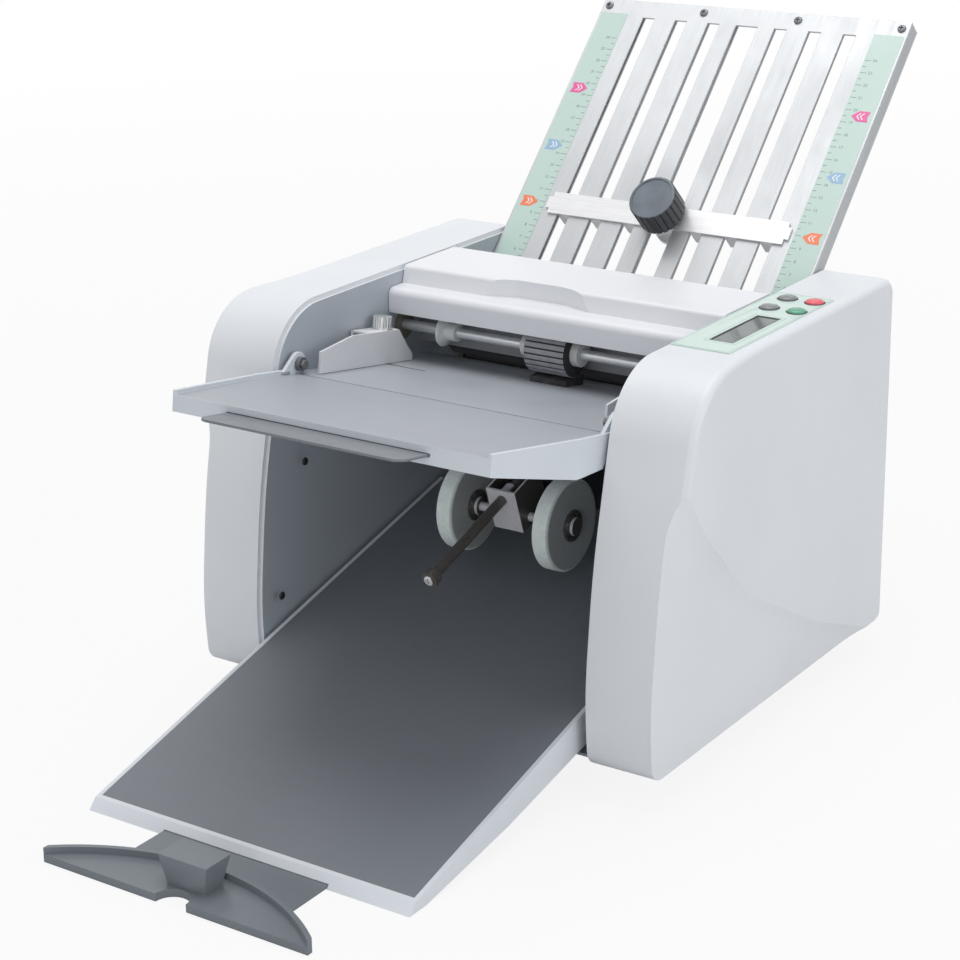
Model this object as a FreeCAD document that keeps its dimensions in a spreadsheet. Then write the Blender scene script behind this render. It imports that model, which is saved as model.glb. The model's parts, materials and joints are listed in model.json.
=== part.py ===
"""Desk paper folding machine: friction feed, four fold rollers, two fold plates and a delivery tray.

Millimetres. X runs across the machine, Y from front to back, Z up. The origin lies on the desk
under the middle of the machine's bounding box. Places written in formulas are taken from the
side covers' front (Y) and lower edge (Z); seat() moves every finished piece into the row's frame.
"""
import FreeCAD, Part
import math
import os
import re
import Sketcher

SIZES = {
    # Where the housing stands in the frame of the part
    "front_place": -95.3,
    "foot_height": 19.0,
    # Housing covers
    "cover_depth": 300.0,
    "cover_height": 238.0,
    "flank_width": 44.3,
    "cover_wall": 4.0,
    "toe_place": -4.0,
    "knee_place": -7.0,
    "knee_height": 45.0,
    "lean_place": 2.4,
    "lean_height": 123.0,
    "brow_place": 29.3,
    "knee_radius": 250.0,
    "lean_radius": 500.0,
    "brow_radius": 48.0,
    "corner_radius": 12.0,
    "edge_radius": 5.0,
    # Outer side of the covers: a lower flank, and a field above it that swells out at the front
    "swell": 11.0,
    "swell_end": 45.0,
    "settle": 3.5,
    "settle_place": 104.0,
    "settle_rear": 2.5,
    "swell_radius": 250.0,
    "flank_brow_place": 12.0,
    "flank_brow_height": 200.0,
    "flank_bend_place": 37.0,
    "flank_bend_height": 151.0,
    "flank_slope_place": 88.0,
    "flank_slope_height": 111.0,
    "flank_foot_place": 206.0,
    "flank_foot_height": 47.0,
    "flank_rear_height": 1.0,
    "flank_turn": 110.0,
    "flank_blend": 30.0,
    # Sheet metal frame
    "bay_half": 121.7,
    "frame_sheet": 2.0,
    "frame_inset": 3.0,
    "base_sheet": 2.0,
    "base_margin": 8.0,
    "rod_radius": 4.0,
    "foot_radius": 11.0,
    "foot_place": 90.0,
    "foot_front": 55.0,
    "foot_rear": 255.0,
    "rear_cover_height": 208.0,
    "rear_cover_place": 292.0,
    "rear_cover_wall": 3.0,
    # Power inlet and rocker switch in the rear cover
    "inlet_place": 70.0,
    "inlet_height": 32.0,
    "inlet_width": 27.0,
    "inlet_tall": 20.0,
    "inlet_flange": 2.0,
    "inlet_rim": 4.0,
    "inlet_body": 18.0,
    "inlet_socket": 15.0,
    "inlet_wall": 2.5,
    "rocker_place": 105.0,
    "rocker_width": 12.0,
    "rocker_tall": 19.0,
    "rocker_depth": 7.0,
    "rocker_gap": 0.5,
    "rocker_tilt": 6.0,
    "rocker_pin_radius": 1.2,
    "rocker_pin": 0.35,
    # Fit of moving pieces
    "run_fit": 0.05,
    "slip_gap": 0.3,
    "overrun": 20.0,
    # Fold rollers
    "roller_radius": 15.0,
    "roller_length": 228.0,
    "roller_shaft_radius": 5.0,
    "nip_gap": 0.3,
    "bush_radius": 8.0,
    "bush_flange_radius": 10.0,
    "bush_flange": 1.5,
    "entry_nip_place": 224.0,
    "entry_nip_height": 170.0,
    "second_nip_slope": 26.0,
    "exit_nip_slope": 4.0,
    # Roller gears and belts
    "gear_start": 126.5,
    "gear_width": 8.0,
    "gear_dedendum_share": 0.085,
    "gear_addendum_share": 0.066,
    "pulley_width": 8.0,
    "pulley_flange": 1.0,
    "pulley_flange_rise": 2.0,
    "roller_pulley_radius": 14.0,
    "motor_pulley_radius": 8.0,
    "feed_pulley_radius": 10.0,
    "belt_thickness": 1.5,
    # Motor
    "motor_place": 218.0,
    "motor_height": 36.0,
    "motor_radius": 27.0,
    "motor_length": 84.0,
    "motor_cap_radius": 20.0,
    "motor_cap": 10.0,
    "motor_shaft_radius": 4.0,
    "motor_boss_radius": 9.0,
    "motor_wall": 3.0,
    "rotor_gap": 1.0,
    "rotor_margin": 12.0,
    # Feed shaft and its rollers
    "feed_place": 158.3,
    "feed_drop": 12.0,
    "feed_shaft_radius": 3.5,
    "feed_radius": 16.0,
    "feed_half_width": 15.0,
    "feed_flute_depth": 0.9,
    "feed_flutes": 24.0,
    "ring_radius": 7.3,
    "ring_width": 2.5,
    "cap_radius": 8.4,
    "cap_width": 5.5,
    "disc_radius": 10.5,
    "disc_place": -88.5,
    "disc_rim": 1.5,
    "disc_slope": 3.0,
    "disc_hub_radius": 6.0,
    "disc_width": 12.0,
    "separator_half_width": 14.0,
    "separator_depth": 22.0,
    "separator_gap": 0.4,
    "separator_base": 6.0,
    "feed_guide_place": 177.0,
    "feed_guide_drop": 5.0,
    "feed_guide_height": 23.0,
    "feed_guide_sheet": 2.0,
    # Feed table: fixed inner table and hinged front table
    "table_tilt": 9.2,
    "pivot_place": 38.0,
    "pivot_drop": 8.0,
    "table_drop": 6.2,
    "table_sheet": 2.0,
    "inner_table_length": 150.0,
    "inner_table_half_width": 115.4,
    "inner_tab_start": 9.0,
    "front_table_length": 122.5,
    "front_table_gap": 2.0,
    "front_table_half_width": 120.8,
    "front_table_nose_half_width": 113.5,
    "front_table_straight": 40.0,
    "flange_sheet": 2.5,
    "flange_rim": 2.6,
    "flange_nose_depth": 10.5,
    "flange_deep": 21.0,
    "flange_deep_place": 44.0,
    "flange_rear_depth": 18.0,
    "flange_rear_place": 16.0,
    "ear_half_depth": 6.0,
    "ear_inner": 115.8,
    "ear_sheet": 3.0,
    "pivot_pin_radius": 3.0,
    "pivot_pin_head_radius": 4.5,
    "pivot_pin_head": 3.0,
    "extension_half_width": 72.0,
    "extension_sheet": 1.5,
    "extension_drop": 2.5,
    "extension_nose": 150.0,
    "extension_length": 100.0,
    "extension_corner_radius": 8.0,
    "extension_rail": 6.0,
    # Side guides
    "guide_half_gap": 105.0,
    "guide_sheet": 1.5,
    "guide_front": 8.0,
    "guide_front_height": 8.4,
    "guide_peak_front": 41.0,
    "guide_peak_height": 16.0,
    "guide_peak_rear": 91.5,
    "guide_tail": 102.0,
    "guide_tail_place": 108.7,
    "guide_tail_height": 4.4,
    "guide_tail_low": -1.7,
    "guide_flange_front": 58.0,
    "guide_flange_reach": 14.5,
    "guide_screw_place": 82.0,
    "guide_screw_reach": 7.3,
    "guide_travel": 35.0,
    "screw_washer_radius": 7.0,
    "screw_washer": 1.0,
    "screw_head_radius": 6.3,
    "screw_head": 7.5,
    "screw_shank_radius": 2.0,
    "screw_nut_radius": 4.0,
    "screw_nut": 3.0,
    "screw_flutes": 16.0,
    "screw_flute_depth": 0.5,
    # Top cover between the side covers
    "lid_half_length": 121.2,
    "lid_front": 142.0,
    "lid_depth": 28.0,
    "lid_step_drop": 11.5,
    "lid_step_place": 158.0,
    "lid_rear": 221.0,
    "lid_wall": 3.0,
    "lid_lip_radius": 5.0,
    "lid_step_radius": 3.0,
    "scoop_left": -46.0,
    "scoop_right": 14.0,
    "scoop_depth": 5.0,
    "scoop_slope": 12.0,
    "scoop_radius": 22.0,
    "lid_hinge_place": 226.0,
    "lid_hinge_drop": 12.0,
    "lid_hinge_radius": 3.0,
    "lid_ear_sheet": 3.0,
    "lid_ear_radius": 6.0,
    # Control panel on the right cover
    "panel_inner": 124.5,
    "panel_outer": 164.0,
    "panel_front": 88.0,
    "panel_rear": 224.0,
    "panel_sheet": 0.8,
    "window_inner": 140.0,
    "window_outer": 156.0,
    "window_front": 107.0,
    "window_rear": 168.0,
    "window_sheet": 3.0,
    "window_rise": 0.4,
    "button_inner": 138.0,
    "button_outer": 156.8,
    "button_front": 187.0,
    "button_rear": 211.5,
    "button_radius": 6.0,
    "button_rise": 3.2,
    "button_gap": 0.3,
    "button_flange_radius": 6.9,
    "button_flange": 1.5,
    "button_round": 1.4,
    "button_stem": 3.0,
    "board_thickness": 1.6,
    "board_gap": 2.0,
    # Upper fold plate
    "plate_tilt": 46.0,
    "plate_top_place": 419.0,
    "plate_top_height": 381.0,
    "plate_half_width": 121.2,
    "plate_length": 272.0,
    "plate_thickness": 12.0,
    "plate_sheet": 1.5,
    "plate_rail_width": 4.0,
    "slot_top": 14.0,
    "slot_bottom": 250.0,
    "slot_width": 9.8,
    "centre_slot_width": 17.5,
    "slot_pitch": 26.5,
    "back_slot_reach": 5.2,
    "plate_ledge": 6.0,
    # Fold stop on the upper plate
    "stop_place": 174.0,
    "stop_half_width": 92.0,
    "stop_depth": 17.0,
    "stop_sheet": 1.5,
    "stop_finger_width": 8.6,
    "stop_finger_sheet": 1.5,
    "stop_end_notch": 4.0,
    "stop_tongue": 3.0,
    "stop_boss_radius": 5.0,
    "knob_radius": 16.8,
    "knob_height": 19.5,
    "knob_collar_radius": 11.0,
    "knob_collar": 5.0,
    "knob_flutes": 22.0,
    "knob_flute_depth": 0.9,
    "knob_round": 1.5,
    "knob_dish_radius": 14.6,
    "knob_dish": 0.5,
    "knob_shank_radius": 3.0,
    # Lower fold plate
    "lower_plate_start": 16.0,
    "lower_plate_length": 100.0,
    "lower_plate_half_gap": 3.0,
    "lower_plate_sheet": 1.2,
    "lower_plate_half_width": 121.7,
    "lower_slot_half_width": 4.0,
    "lower_stop_place": 72.0,
    "lower_stop_depth": 5.0,
    "lower_knob_radius": 7.0,
    "lower_knob_height": 6.0,
    # Press wheels over the delivered paper
    "press_place": 152.0,
    "press_height": 135.1,
    "press_tilt": 18.6,
    "press_shaft_radius": 4.0,
    "press_hub_radius": 8.0,
    "press_hub_half_width": 12.0,
    "press_rod_radius": 3.4,
    "press_rod_length": 142.0,
    "press_cap_radius": 5.5,
    "press_cap": 6.0,
    "bracket_place": 62.0,
    "bracket_sheet": 1.5,
    "bracket_half_width": 11.0,
    "bracket_top": 7.0,
    "bracket_bottom": 24.0,
    "bracket_depth": 30.0,
    "bracket_sleeve_radius": 5.0,
    "bracket_sleeve": 10.0,
    "axle_place": 51.6,
    "axle_drop": 18.6,
    "axle_radius": 3.0,
    "axle_collar_radius": 6.0,
    "axle_collar": 2.0,
    "wheel_radius": 30.0,
    "wheel_inner": 30.5,
    "wheel_width": 12.0,
    "wheel_hub_radius": 10.0,
    "wheel_hub_rise": 1.5,
    "wheel_round": 2.0,
    # Delivery tray
    "tray_tilt": 14.4,
    "tray_front": -170.0,
    "tray_front_height": -12.6,
    "tray_half_width": 117.0,
    "tray_length": 372.0,
    "tray_wall": 2.8,
    "tray_skin": 1.8,
    "tray_surface_sheet": 1.2,
    "tray_nose": 7.4,
    "tray_nose_drop": 4.7,
    "tray_land": 8.1,
    "tray_land_drop": 8.7,
    "tray_knee": 90.5,
    "tray_knee_drop": 17.5,
    "tray_deep": 174.0,
    "tray_depth": 21.4,
    "tray_window_half_width": 60.3,
    "tray_window": 30.0,
    "tray_hook": 5.0,
    # Tray extension and stack stop, both lying on the desk
    "slider_half_width": 60.0,
    "slider_front": -207.0,
    "slider_rear": -100.0,
    "slider_sheet": 2.0,
    "stopper_front": -237.0,
    "stopper_half_width": 95.0,
    "stopper_depth": 37.0,
    "stopper_tip": 4.0,
    "stopper_thickness": 5.0,
    "stopper_rim": 3.0,
    "stopper_rim_rise": 4.0,
    "notch_radius": 11.0,
    "block_half_width": 13.5,
    "block_top_half_width": 17.5,
    "block_place": 13.0,
    "block_depth": 15.0,
    "block_top_place": 11.0,
    "block_top_depth": 21.0,
    "block_height": 18.0,
}

# Places that follow from the sizes, each a formula over sizes and over places above it.
PLACES = {}

doc = FreeCAD.newDocument("PaperFolder")
sheet = doc.addObject("Spreadsheet::Sheet", "Sizes")
for row, (alias, value) in enumerate(SIZES.items(), 1):
    sheet.set("A%d" % row, alias)
    sheet.set("B%d" % row, str(value))
    sheet.setAlias("B%d" % row, alias)
doc.recompute()
places = doc.addObject("App::VarSet", "Places")

QUARTER_TURN = 90
FULL_TURN = 360
CROSSWISE = FreeCAD.Vector(1, 0, 0)
PIECES = []


def text(formula):
    """Formula with each named size or place pointed at the object that holds it."""
    def owner(match):
        word = match.group(0)
        if word in SIZES:
            return "Sizes." + word
        if word in PLACES:
            return "Places." + word
        return word
    return re.sub(r"[A-Za-z_]\w*", owner, str(formula))


def bind(obj, prop, formula):
    obj.setExpression(prop, text(formula))


def place(name, formula):
    """A named place worked out from the sizes."""
    places.addProperty("App::PropertyFloat", name)
    bind(places, name, formula)
    PLACES[name] = formula


def minus(formula):
    return "-(%s)" % formula


def block(x, y, z):
    """Box between pairs (low, high) on the three axes."""
    box = doc.addObject("Part::Box", "Block")
    for side, (low, high) in zip(("Length", "Width", "Height"), (x, y, z)):
        bind(box, side, "(%s) - (%s)" % (high, low))
    for axis, (low, high) in zip("xyz", (x, y, z)):
        bind(box, "Placement.Base." + axis, low)
    return box


def rod(x, y, z, radius):
    """Cylinder along the axis whose place is given as a pair (low, high)."""
    cylinder = doc.addObject("Part::Cylinder", "Rod")
    if isinstance(x, tuple):
        turn, low, high = FreeCAD.Rotation(FreeCAD.Vector(0, 1, 0), QUARTER_TURN), x[0], x[1]
    elif isinstance(y, tuple):
        turn, low, high = FreeCAD.Rotation(CROSSWISE, -QUARTER_TURN), y[0], y[1]
    else:
        turn, low, high = FreeCAD.Rotation(), z[0], z[1]
    cylinder.Placement = FreeCAD.Placement(FreeCAD.Vector(), turn)
    for axis, along in zip("xyz", (x, y, z)):
        bind(cylinder, "Placement.Base." + axis, along[0] if isinstance(along, tuple) else along)
    bind(cylinder, "Radius", radius)
    bind(cylinder, "Height", "(%s) - (%s)" % (high, low))
    return cylinder


def fuse(*shapes):
    joined = doc.addObject("Part::MultiFuse", "Joined")
    joined.Shapes = list(shapes)
    joined.Refine = True
    return joined


def common(*shapes):
    shared = doc.addObject("Part::MultiCommon", "Shared")
    shared.Shapes = list(shapes)
    return shared


def cut(base, *tools):
    left = doc.addObject("Part::Cut", "Cut")
    left.Base = base
    left.Tool = tools[0] if len(tools) == 1 else fuse(*tools)
    return left


def group(*shapes):
    bundle = doc.addObject("Part::Compound", "Group")
    bundle.Links = list(shapes)
    return bundle


def seat(obj, label, at=("0", "0", "0"), tilt=None):
    """Name a finished piece and put it in its place, turned about X by tilt."""
    if obj.TypeId in ("Part::Box", "Part::Cylinder"):
        obj = group(obj)
    obj.Label = label
    obj.Placement = FreeCAD.Placement(FreeCAD.Vector(), FreeCAD.Rotation(CROSSWISE, 1 if tilt else 0))
    bind(obj, "Placement.Base.x", at[0])
    bind(obj, "Placement.Base.y", "front_place + (%s)" % at[1])
    bind(obj, "Placement.Base.z", "foot_height + (%s)" % at[2])
    if tilt:
        bind(obj, "Placement.Rotation.Angle", tilt)
    PIECES.append(obj)
    return obj


def new_body(name):
    return doc.addObject("PartDesign::Body", name)


def sketch(body, plane, level="0"):
    """Empty sketch on one of the body's origin planes, raised to a level along its normal."""
    drawing = body.newObject("Sketcher::SketchObject", "Outline")
    planes = [item for item in body.Origin.OriginFeatures if item.Role == plane + "_Plane"]
    drawing.AttachmentSupport = [(planes[0], "")]
    drawing.MapMode = "FlatFace"
    bind(drawing, "AttachmentOffset.Base.z", level)
    return drawing


def pin_point(drawing, element, end, across, up):
    for kind, formula in (("DistanceX", across), ("DistanceY", up)):
        number = drawing.addConstraint(Sketcher.Constraint(kind, -1, 1, element, end, 1.0))
        bind(drawing, "Constraints[%d]" % number, formula)


def outline(drawing, points):
    """Closed outline of straight lines through points given as pairs of formulas."""
    count = len(points)
    first = drawing.GeometryCount
    corners = []
    for step in range(count):
        angle = -2 * math.pi * step / count
        corners.append(FreeCAD.Vector(math.cos(angle), math.sin(angle), 0))
    for step in range(count):
        drawing.addGeometry(Part.LineSegment(corners[step], corners[(step + 1) % count]), False)
    for step in range(count):
        after = first + (step + 1) % count
        drawing.addConstraint(Sketcher.Constraint("Coincident", first + step, 2, after, 1))
    for step, (across, up) in enumerate(points):
        pin_point(drawing, first + step, 1, across, up)


def ring(drawing, across, up, radius):
    """Circle with its centre and radius given by formulas."""
    number = drawing.addGeometry(Part.Circle(FreeCAD.Vector(), FreeCAD.Vector(0, 0, 1), 1), False)
    pin_point(drawing, number, 3, across, up)
    size = drawing.addConstraint(Sketcher.Constraint("Radius", number, 1.0))
    bind(drawing, "Constraints[%d]" % size, radius)


def feature(body, kind, drawing, length, backwards=False):
    """Pad or pocket of a drawing."""
    made = body.newObject("PartDesign::" + kind, kind)
    made.Profile = drawing
    made.Reversed = backwards
    bind(made, "Length", length)
    drawing.Visibility = False
    return made


def revolve(body, drawing):
    made = body.newObject("PartDesign::Revolution", "Turned")
    made.Profile = drawing
    made.ReferenceAxis = (drawing, ["H_Axis"])
    made.Angle = FULL_TURN
    return made


def turned_along_x(name, points):
    """Round piece about X, from (along, radius) points of its half outline."""
    body = new_body(name)
    drawing = sketch(body, "XY")
    outline(drawing, points)
    revolve(body, drawing)
    return body


def number(name):
    """Present value of a size or place."""
    return getattr(places, name) if name in PLACES else float(sheet.get(name))


def value(formula):
    """Present value of a formula that is a name or zero."""
    return number(formula) if formula in SIZES or formula in PLACES else float(formula)


def round_edges(body, base, radius, wanted):
    """Fillet the edges of base whose middle passes the test wanted(middle, edge)."""
    doc.recompute()
    names = []
    for index, edge in enumerate(base.Shape.Edges, 1):
        middle = edge.valueAt((edge.FirstParameter + edge.LastParameter) / 2)
        if wanted(middle, edge):
            names.append("Edge%d" % index)
    made = body.newObject("PartDesign::Fillet", "Rounding")
    made.Base = (base, names)
    bind(made, "Radius", radius)
    return made


def near(point, across, up, plane="YZ"):
    """True where a point lies on the line through the places (across, up) along the normal."""
    first, second = {"YZ": (point.y, point.z), "XY": (point.x, point.y)}[plane]
    slack = number("slip_gap")
    return abs(first - across) < slack and abs(second - up) < slack


def repeat(body, drawing, depth, count):
    """Groove cut from a drawing and repeated about the drawing's own normal."""
    groove = feature(body, "Pocket", drawing, depth)
    doc.recompute()
    pattern = body.newObject("PartDesign::PolarPattern", "Grooves")
    pattern.Originals = [groove]
    pattern.Axis = (drawing, ["N_Axis"])
    pattern.Angle = FULL_TURN
    bind(pattern, "Occurrences", count)
    body.Tip = pattern


def vee(drawing, reach, depth):
    """Three-cornered groove on a rim at a given radius."""
    outline(drawing, [
        ("%s - %s" % (reach, depth), "0"),
        ("%s + %s" % (reach, depth), "%s * 2" % depth),
        ("%s + %s" % (reach, depth), "-%s * 2" % depth),
    ])


# Places of the housing
place("frame_outer", "bay_half + frame_sheet")
place("cover_rear", "cover_depth - cover_wall")
place("flank_half_width", "frame_outer + flank_width")
place("cover_half_width", "flank_half_width + swell")
place("lid_low", "cover_height - lid_depth")
place("lid_step_height", "cover_height - lid_step_drop")
place("lid_hinge_height", "cover_height - lid_hinge_drop")
place("feed_height", "lid_low - feed_drop")
place("pivot_height", "lid_low - pivot_drop")
place("feed_guide_high", "lid_low - feed_guide_drop")

# Centres of the fold rollers, worked out from nip to nip
place("roller_pitch", "roller_radius + nip_gap / 2")
place("roller_1_y", "entry_nip_place - roller_pitch * sin(plate_tilt)")
place("roller_1_z", "entry_nip_height + roller_pitch * cos(plate_tilt)")
place("roller_2_y", "entry_nip_place + roller_pitch * sin(plate_tilt)")
place("roller_2_z", "entry_nip_height - roller_pitch * cos(plate_tilt)")
place("roller_3_y", "roller_2_y - 2 * roller_pitch * cos(second_nip_slope)")
place("roller_3_z", "roller_2_z - 2 * roller_pitch * sin(second_nip_slope)")
place("roller_4_y", "roller_3_y + 2 * roller_pitch * sin(exit_nip_slope)")
place("roller_4_z", "roller_3_z - 2 * roller_pitch * cos(exit_nip_slope)")
place("second_nip_y", "(roller_2_y + roller_3_y) / 2")
place("second_nip_z", "(roller_2_z + roller_3_z) / 2")
place("lower_tilt", "second_nip_slope - 90")
place("pulley_start", "gear_start + gear_width")
place("pulley_end", "pulley_start + pulley_flange + pulley_width")
place("stopper_bow", "stopper_depth - stopper_tip")
place("stopper_radius", "(stopper_half_width^2 + stopper_bow^2) / (2 * stopper_bow)")
doc.recompute()


def cover_corners(inset, level):
    """Corners of the side profile, moved inwards by a formula and ended at a level below."""
    return [
        ("toe_place + (%s)" % inset, level),
        ("knee_place + (%s)" % inset, "knee_height"),
        ("lean_place + (%s)" % inset, "lean_height"),
        ("brow_place + (%s)" % inset, "cover_height - (%s)" % inset),
        ("cover_depth - (%s)" % inset, "cover_height - (%s)" % inset),
        ("cover_depth - (%s)" % inset, level),
    ]


def profile_roundings(body, base, inset, level, foot=True):
    """Round the front curve and the corners of a piece with the housing's side profile."""
    gap, floor_height = value(inset), value(level)
    top = number("cover_height") - gap
    rear = number("cover_depth") - gap
    made = round_edges(body, base, "brow_radius - (%s)" % inset, lambda middle, edge: near(
        middle, number("brow_place") + gap, top))
    made = round_edges(body, made, "lean_radius", lambda middle, edge: near(
        middle, number("lean_place") + gap, number("lean_height")))
    made = round_edges(body, made, "knee_radius", lambda middle, edge: near(
        middle, number("knee_place") + gap, number("knee_height")))
    return round_edges(body, made, "corner_radius - (%s)" % inset, lambda middle, edge: (
        near(middle, rear, top)
        or foot and (near(middle, number("toe_place") + gap, floor_height)
                     or near(middle, rear, floor_height))))


def swelling_shell(side, hand):
    """Outer form of a side cover: the profile's full width, slimmed towards the back, edges round."""
    sign = "" if side > 0 else "-"
    body = new_body(hand + "_cover_body")
    drawing = sketch(body, "YZ", sign + "frame_outer")
    outline(drawing, cover_corners("0", "0"))
    shell = feature(body, "Pad", drawing, "cover_half_width - frame_outer", backwards=side < 0)
    profile_roundings(body, shell, "0", "0", foot=False)
    plan = sketch(body, "XY", "cover_height + overrun")
    outline(plan, [(sign + "(%s)" % across, along) for across, along in (
        ("cover_half_width", "knee_place - overrun"),
        ("cover_half_width", "swell_end"),
        ("flank_half_width + settle", "settle_place"),
        ("flank_half_width + settle_rear", "cover_depth + overrun"),
        ("cover_half_width + overrun", "cover_depth + overrun"),
        ("cover_half_width + overrun", "knee_place - overrun"),
    )])
    shell = feature(body, "Pocket", plan, "cover_height + overrun * 2")
    settled = number("flank_half_width") + number("settle")
    shell = round_edges(body, shell, "swell_radius", lambda middle, edge: (
        near(middle, side * number("cover_half_width"), number("swell_end"), "XY")
        or near(middle, side * settled, number("settle_place"), "XY")))

    def on_rim(middle, edge):
        box = edge.BoundBox
        seam = (box.ZMin < number("slip_gap") and box.ZMax > number("lean_height")
                and middle.y < number("cover_depth") - number("slip_gap"))
        return (side * middle.x > number("flank_half_width") + number("slip_gap")
                and middle.z > number("slip_gap") and not seam)
    round_edges(body, shell, "edge_radius", on_rim)
    return body


def flank_tool(side, hand):
    """What the lower flank leaves off the full width, with a soft foot along the field's edge."""
    body = new_body(hand + "_flank_tool")
    drawing = sketch(body, "YZ", ("" if side > 0 else "-") + "flank_half_width")
    outline(drawing, [
        ("knee_place - overrun", "-overrun"),
        ("knee_place - overrun", "flank_brow_height"),
        ("flank_brow_place", "flank_brow_height"),
        ("flank_bend_place", "flank_bend_height"),
        ("flank_slope_place", "flank_slope_height"),
        ("flank_foot_place", "flank_foot_height"),
        ("cover_depth + overrun", "flank_rear_height"),
        ("cover_depth + overrun", "-overrun"),
    ])
    tool = feature(body, "Pad", drawing, "swell + overrun * 2", backwards=side < 0)
    tool = round_edges(body, tool, "flank_turn", lambda middle, edge: any(
        near(middle, number("flank_%s_place" % bend), number("flank_%s_height" % bend))
        for bend in ("bend", "slope", "foot")))
    round_edges(body, tool, "flank_blend", lambda middle, edge: (
        abs(side * middle.x - number("flank_half_width")) < number("slip_gap")
        and middle.y > number("flank_brow_place") + number("slip_gap")
        and middle.y < number("cover_depth") + number("overrun") - number("slip_gap")
        and middle.z > 0))
    return body


def side_cover(side):
    """Moulded shell over one side frame, hollow towards the frame, with a swelling outer field."""
    hand = "right" if side > 0 else "left"
    sign = "" if side > 0 else "-"
    profile = new_body(hand + "_cover_profile")
    drawing = sketch(profile, "YZ", sign + "frame_outer")
    outline(drawing, cover_corners("0", "0"))
    prism = feature(profile, "Pad", drawing, "cover_half_width - frame_outer + overrun", backwards=side < 0)
    profile_roundings(profile, prism, "0", "0")
    cavity = new_body(hand + "_cover_cavity")
    hollow = sketch(cavity, "YZ", sign + "(frame_outer - overrun)")
    outline(hollow, [
        ("toe_place + cover_wall", "cover_wall"),
        ("knee_place + cover_wall + slip_gap * 2", "knee_height"),
        ("lean_place + cover_wall + slip_gap * 2", "lean_height"),
        ("brow_place - cover_wall", "cover_height - brow_radius - cover_wall"),
        ("brow_place + brow_radius", "cover_height - cover_wall"),
        ("cover_rear", "cover_height - cover_wall"),
        ("cover_rear", "cover_wall"),
    ])
    feature(cavity, "Pad", hollow, "flank_width - cover_wall + overrun", backwards=side < 0)
    tools = [flank_tool(side, hand), cavity]
    if side > 0:
        openings = new_body("right_cover_openings")
        controls = sketch(openings, "XY", "cover_height + overrun")
        for across in ("button_inner", "button_outer"):
            for along in ("button_front", "button_rear"):
                ring(controls, across, along, "button_radius + button_gap")
        outline(controls, [
            ("window_inner", "window_front"),
            ("window_outer", "window_front"),
            ("window_outer", "window_rear"),
            ("window_inner", "window_rear"),
        ])
        feature(openings, "Pad", controls, "cover_wall * 2 + overrun", backwards=True)
        tools.append(openings)
    return seat(cut(common(swelling_shell(side, hand), profile), *tools), hand + "_cover")


def plate_seat(side):
    """Ledge on a side frame that carries the foot of the upper fold plate."""
    inner = "bay_half - plate_ledge"
    low, high = (inner, "bay_half") if side > 0 else ("-bay_half", minus(inner))
    foot = block((low, high), ("-plate_length - plate_ledge", "-plate_length"), ("-plate_thickness", "0"))
    rail = block((low, high), ("-plate_length - plate_ledge", "-plate_length * 3 / 4"),
                 ("-plate_thickness - plate_ledge / 2", "-plate_thickness"))
    ledge = fuse(foot, rail)
    ledge.Placement = FreeCAD.Placement(FreeCAD.Vector(), FreeCAD.Rotation(CROSSWISE, 1))
    bind(ledge, "Placement.Base.y", "plate_top_place")
    bind(ledge, "Placement.Base.z", "plate_top_height")
    bind(ledge, "Placement.Rotation.Angle", "plate_tilt")
    return ledge


def side_frame(side):
    """Sheet metal frame with a hole for each bush and shaft."""
    hand = "right" if side > 0 else "left"
    body = new_body(hand + "_frame_body")
    drawing = sketch(body, "YZ", "bay_half" if side > 0 else "-frame_outer")
    outline(drawing, cover_corners("frame_inset", "base_sheet"))
    plate = feature(body, "Pad", drawing, "frame_sheet")
    profile_roundings(body, plate, "frame_inset", "base_sheet")
    holes = sketch(body, "YZ", "bay_half - overrun" if side > 0 else "-frame_outer - overrun")
    for index in (1, 2, 3, 4):
        ring(holes, "roller_%d_y" % index, "roller_%d_z" % index, "bush_radius")
    ring(holes, "feed_place", "feed_height", "bush_radius")
    ring(holes, "lid_hinge_place", "lid_hinge_height", "lid_hinge_radius + run_fit")
    ring(holes, "pivot_place", "pivot_height", "pivot_pin_radius")
    if side > 0:
        ring(holes, "motor_place", "motor_height", "motor_boss_radius")
    feature(body, "Pocket", holes, "overrun * 2", backwards=True)
    return seat(fuse(body, plate_seat(side)), hand + "_side_frame")


def base_plate():
    """Folded bottom sheet that the side frames stand on."""
    sheet_metal = block(("-frame_outer", "frame_outer"), ("base_margin", "rear_cover_place"),
                        ("0", "base_sheet"))
    return seat(sheet_metal, "base_plate")


def tie_rods():
    """Cross rods screwed between the side frames."""
    rods = []
    for along, up in (
        ("base_margin * 3", "base_sheet + rod_radius + slip_gap"),
        ("rear_cover_place - base_margin", "base_sheet + rod_radius + slip_gap"),
        ("rear_cover_place - base_margin", "rear_cover_height - rod_radius * 4"),
    ):
        rods.append(rod(("-bay_half", "bay_half"), along, up, "rod_radius"))
    return seat(group(*rods), "tie_rods")


def rubber_feet():
    feet = []
    for across in ("-foot_place", "foot_place"):
        for along in ("foot_front", "foot_rear"):
            feet.append(rod(across, along, ("-foot_height", "0"), "foot_radius"))
    return seat(group(*feet), "rubber_feet")


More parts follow.
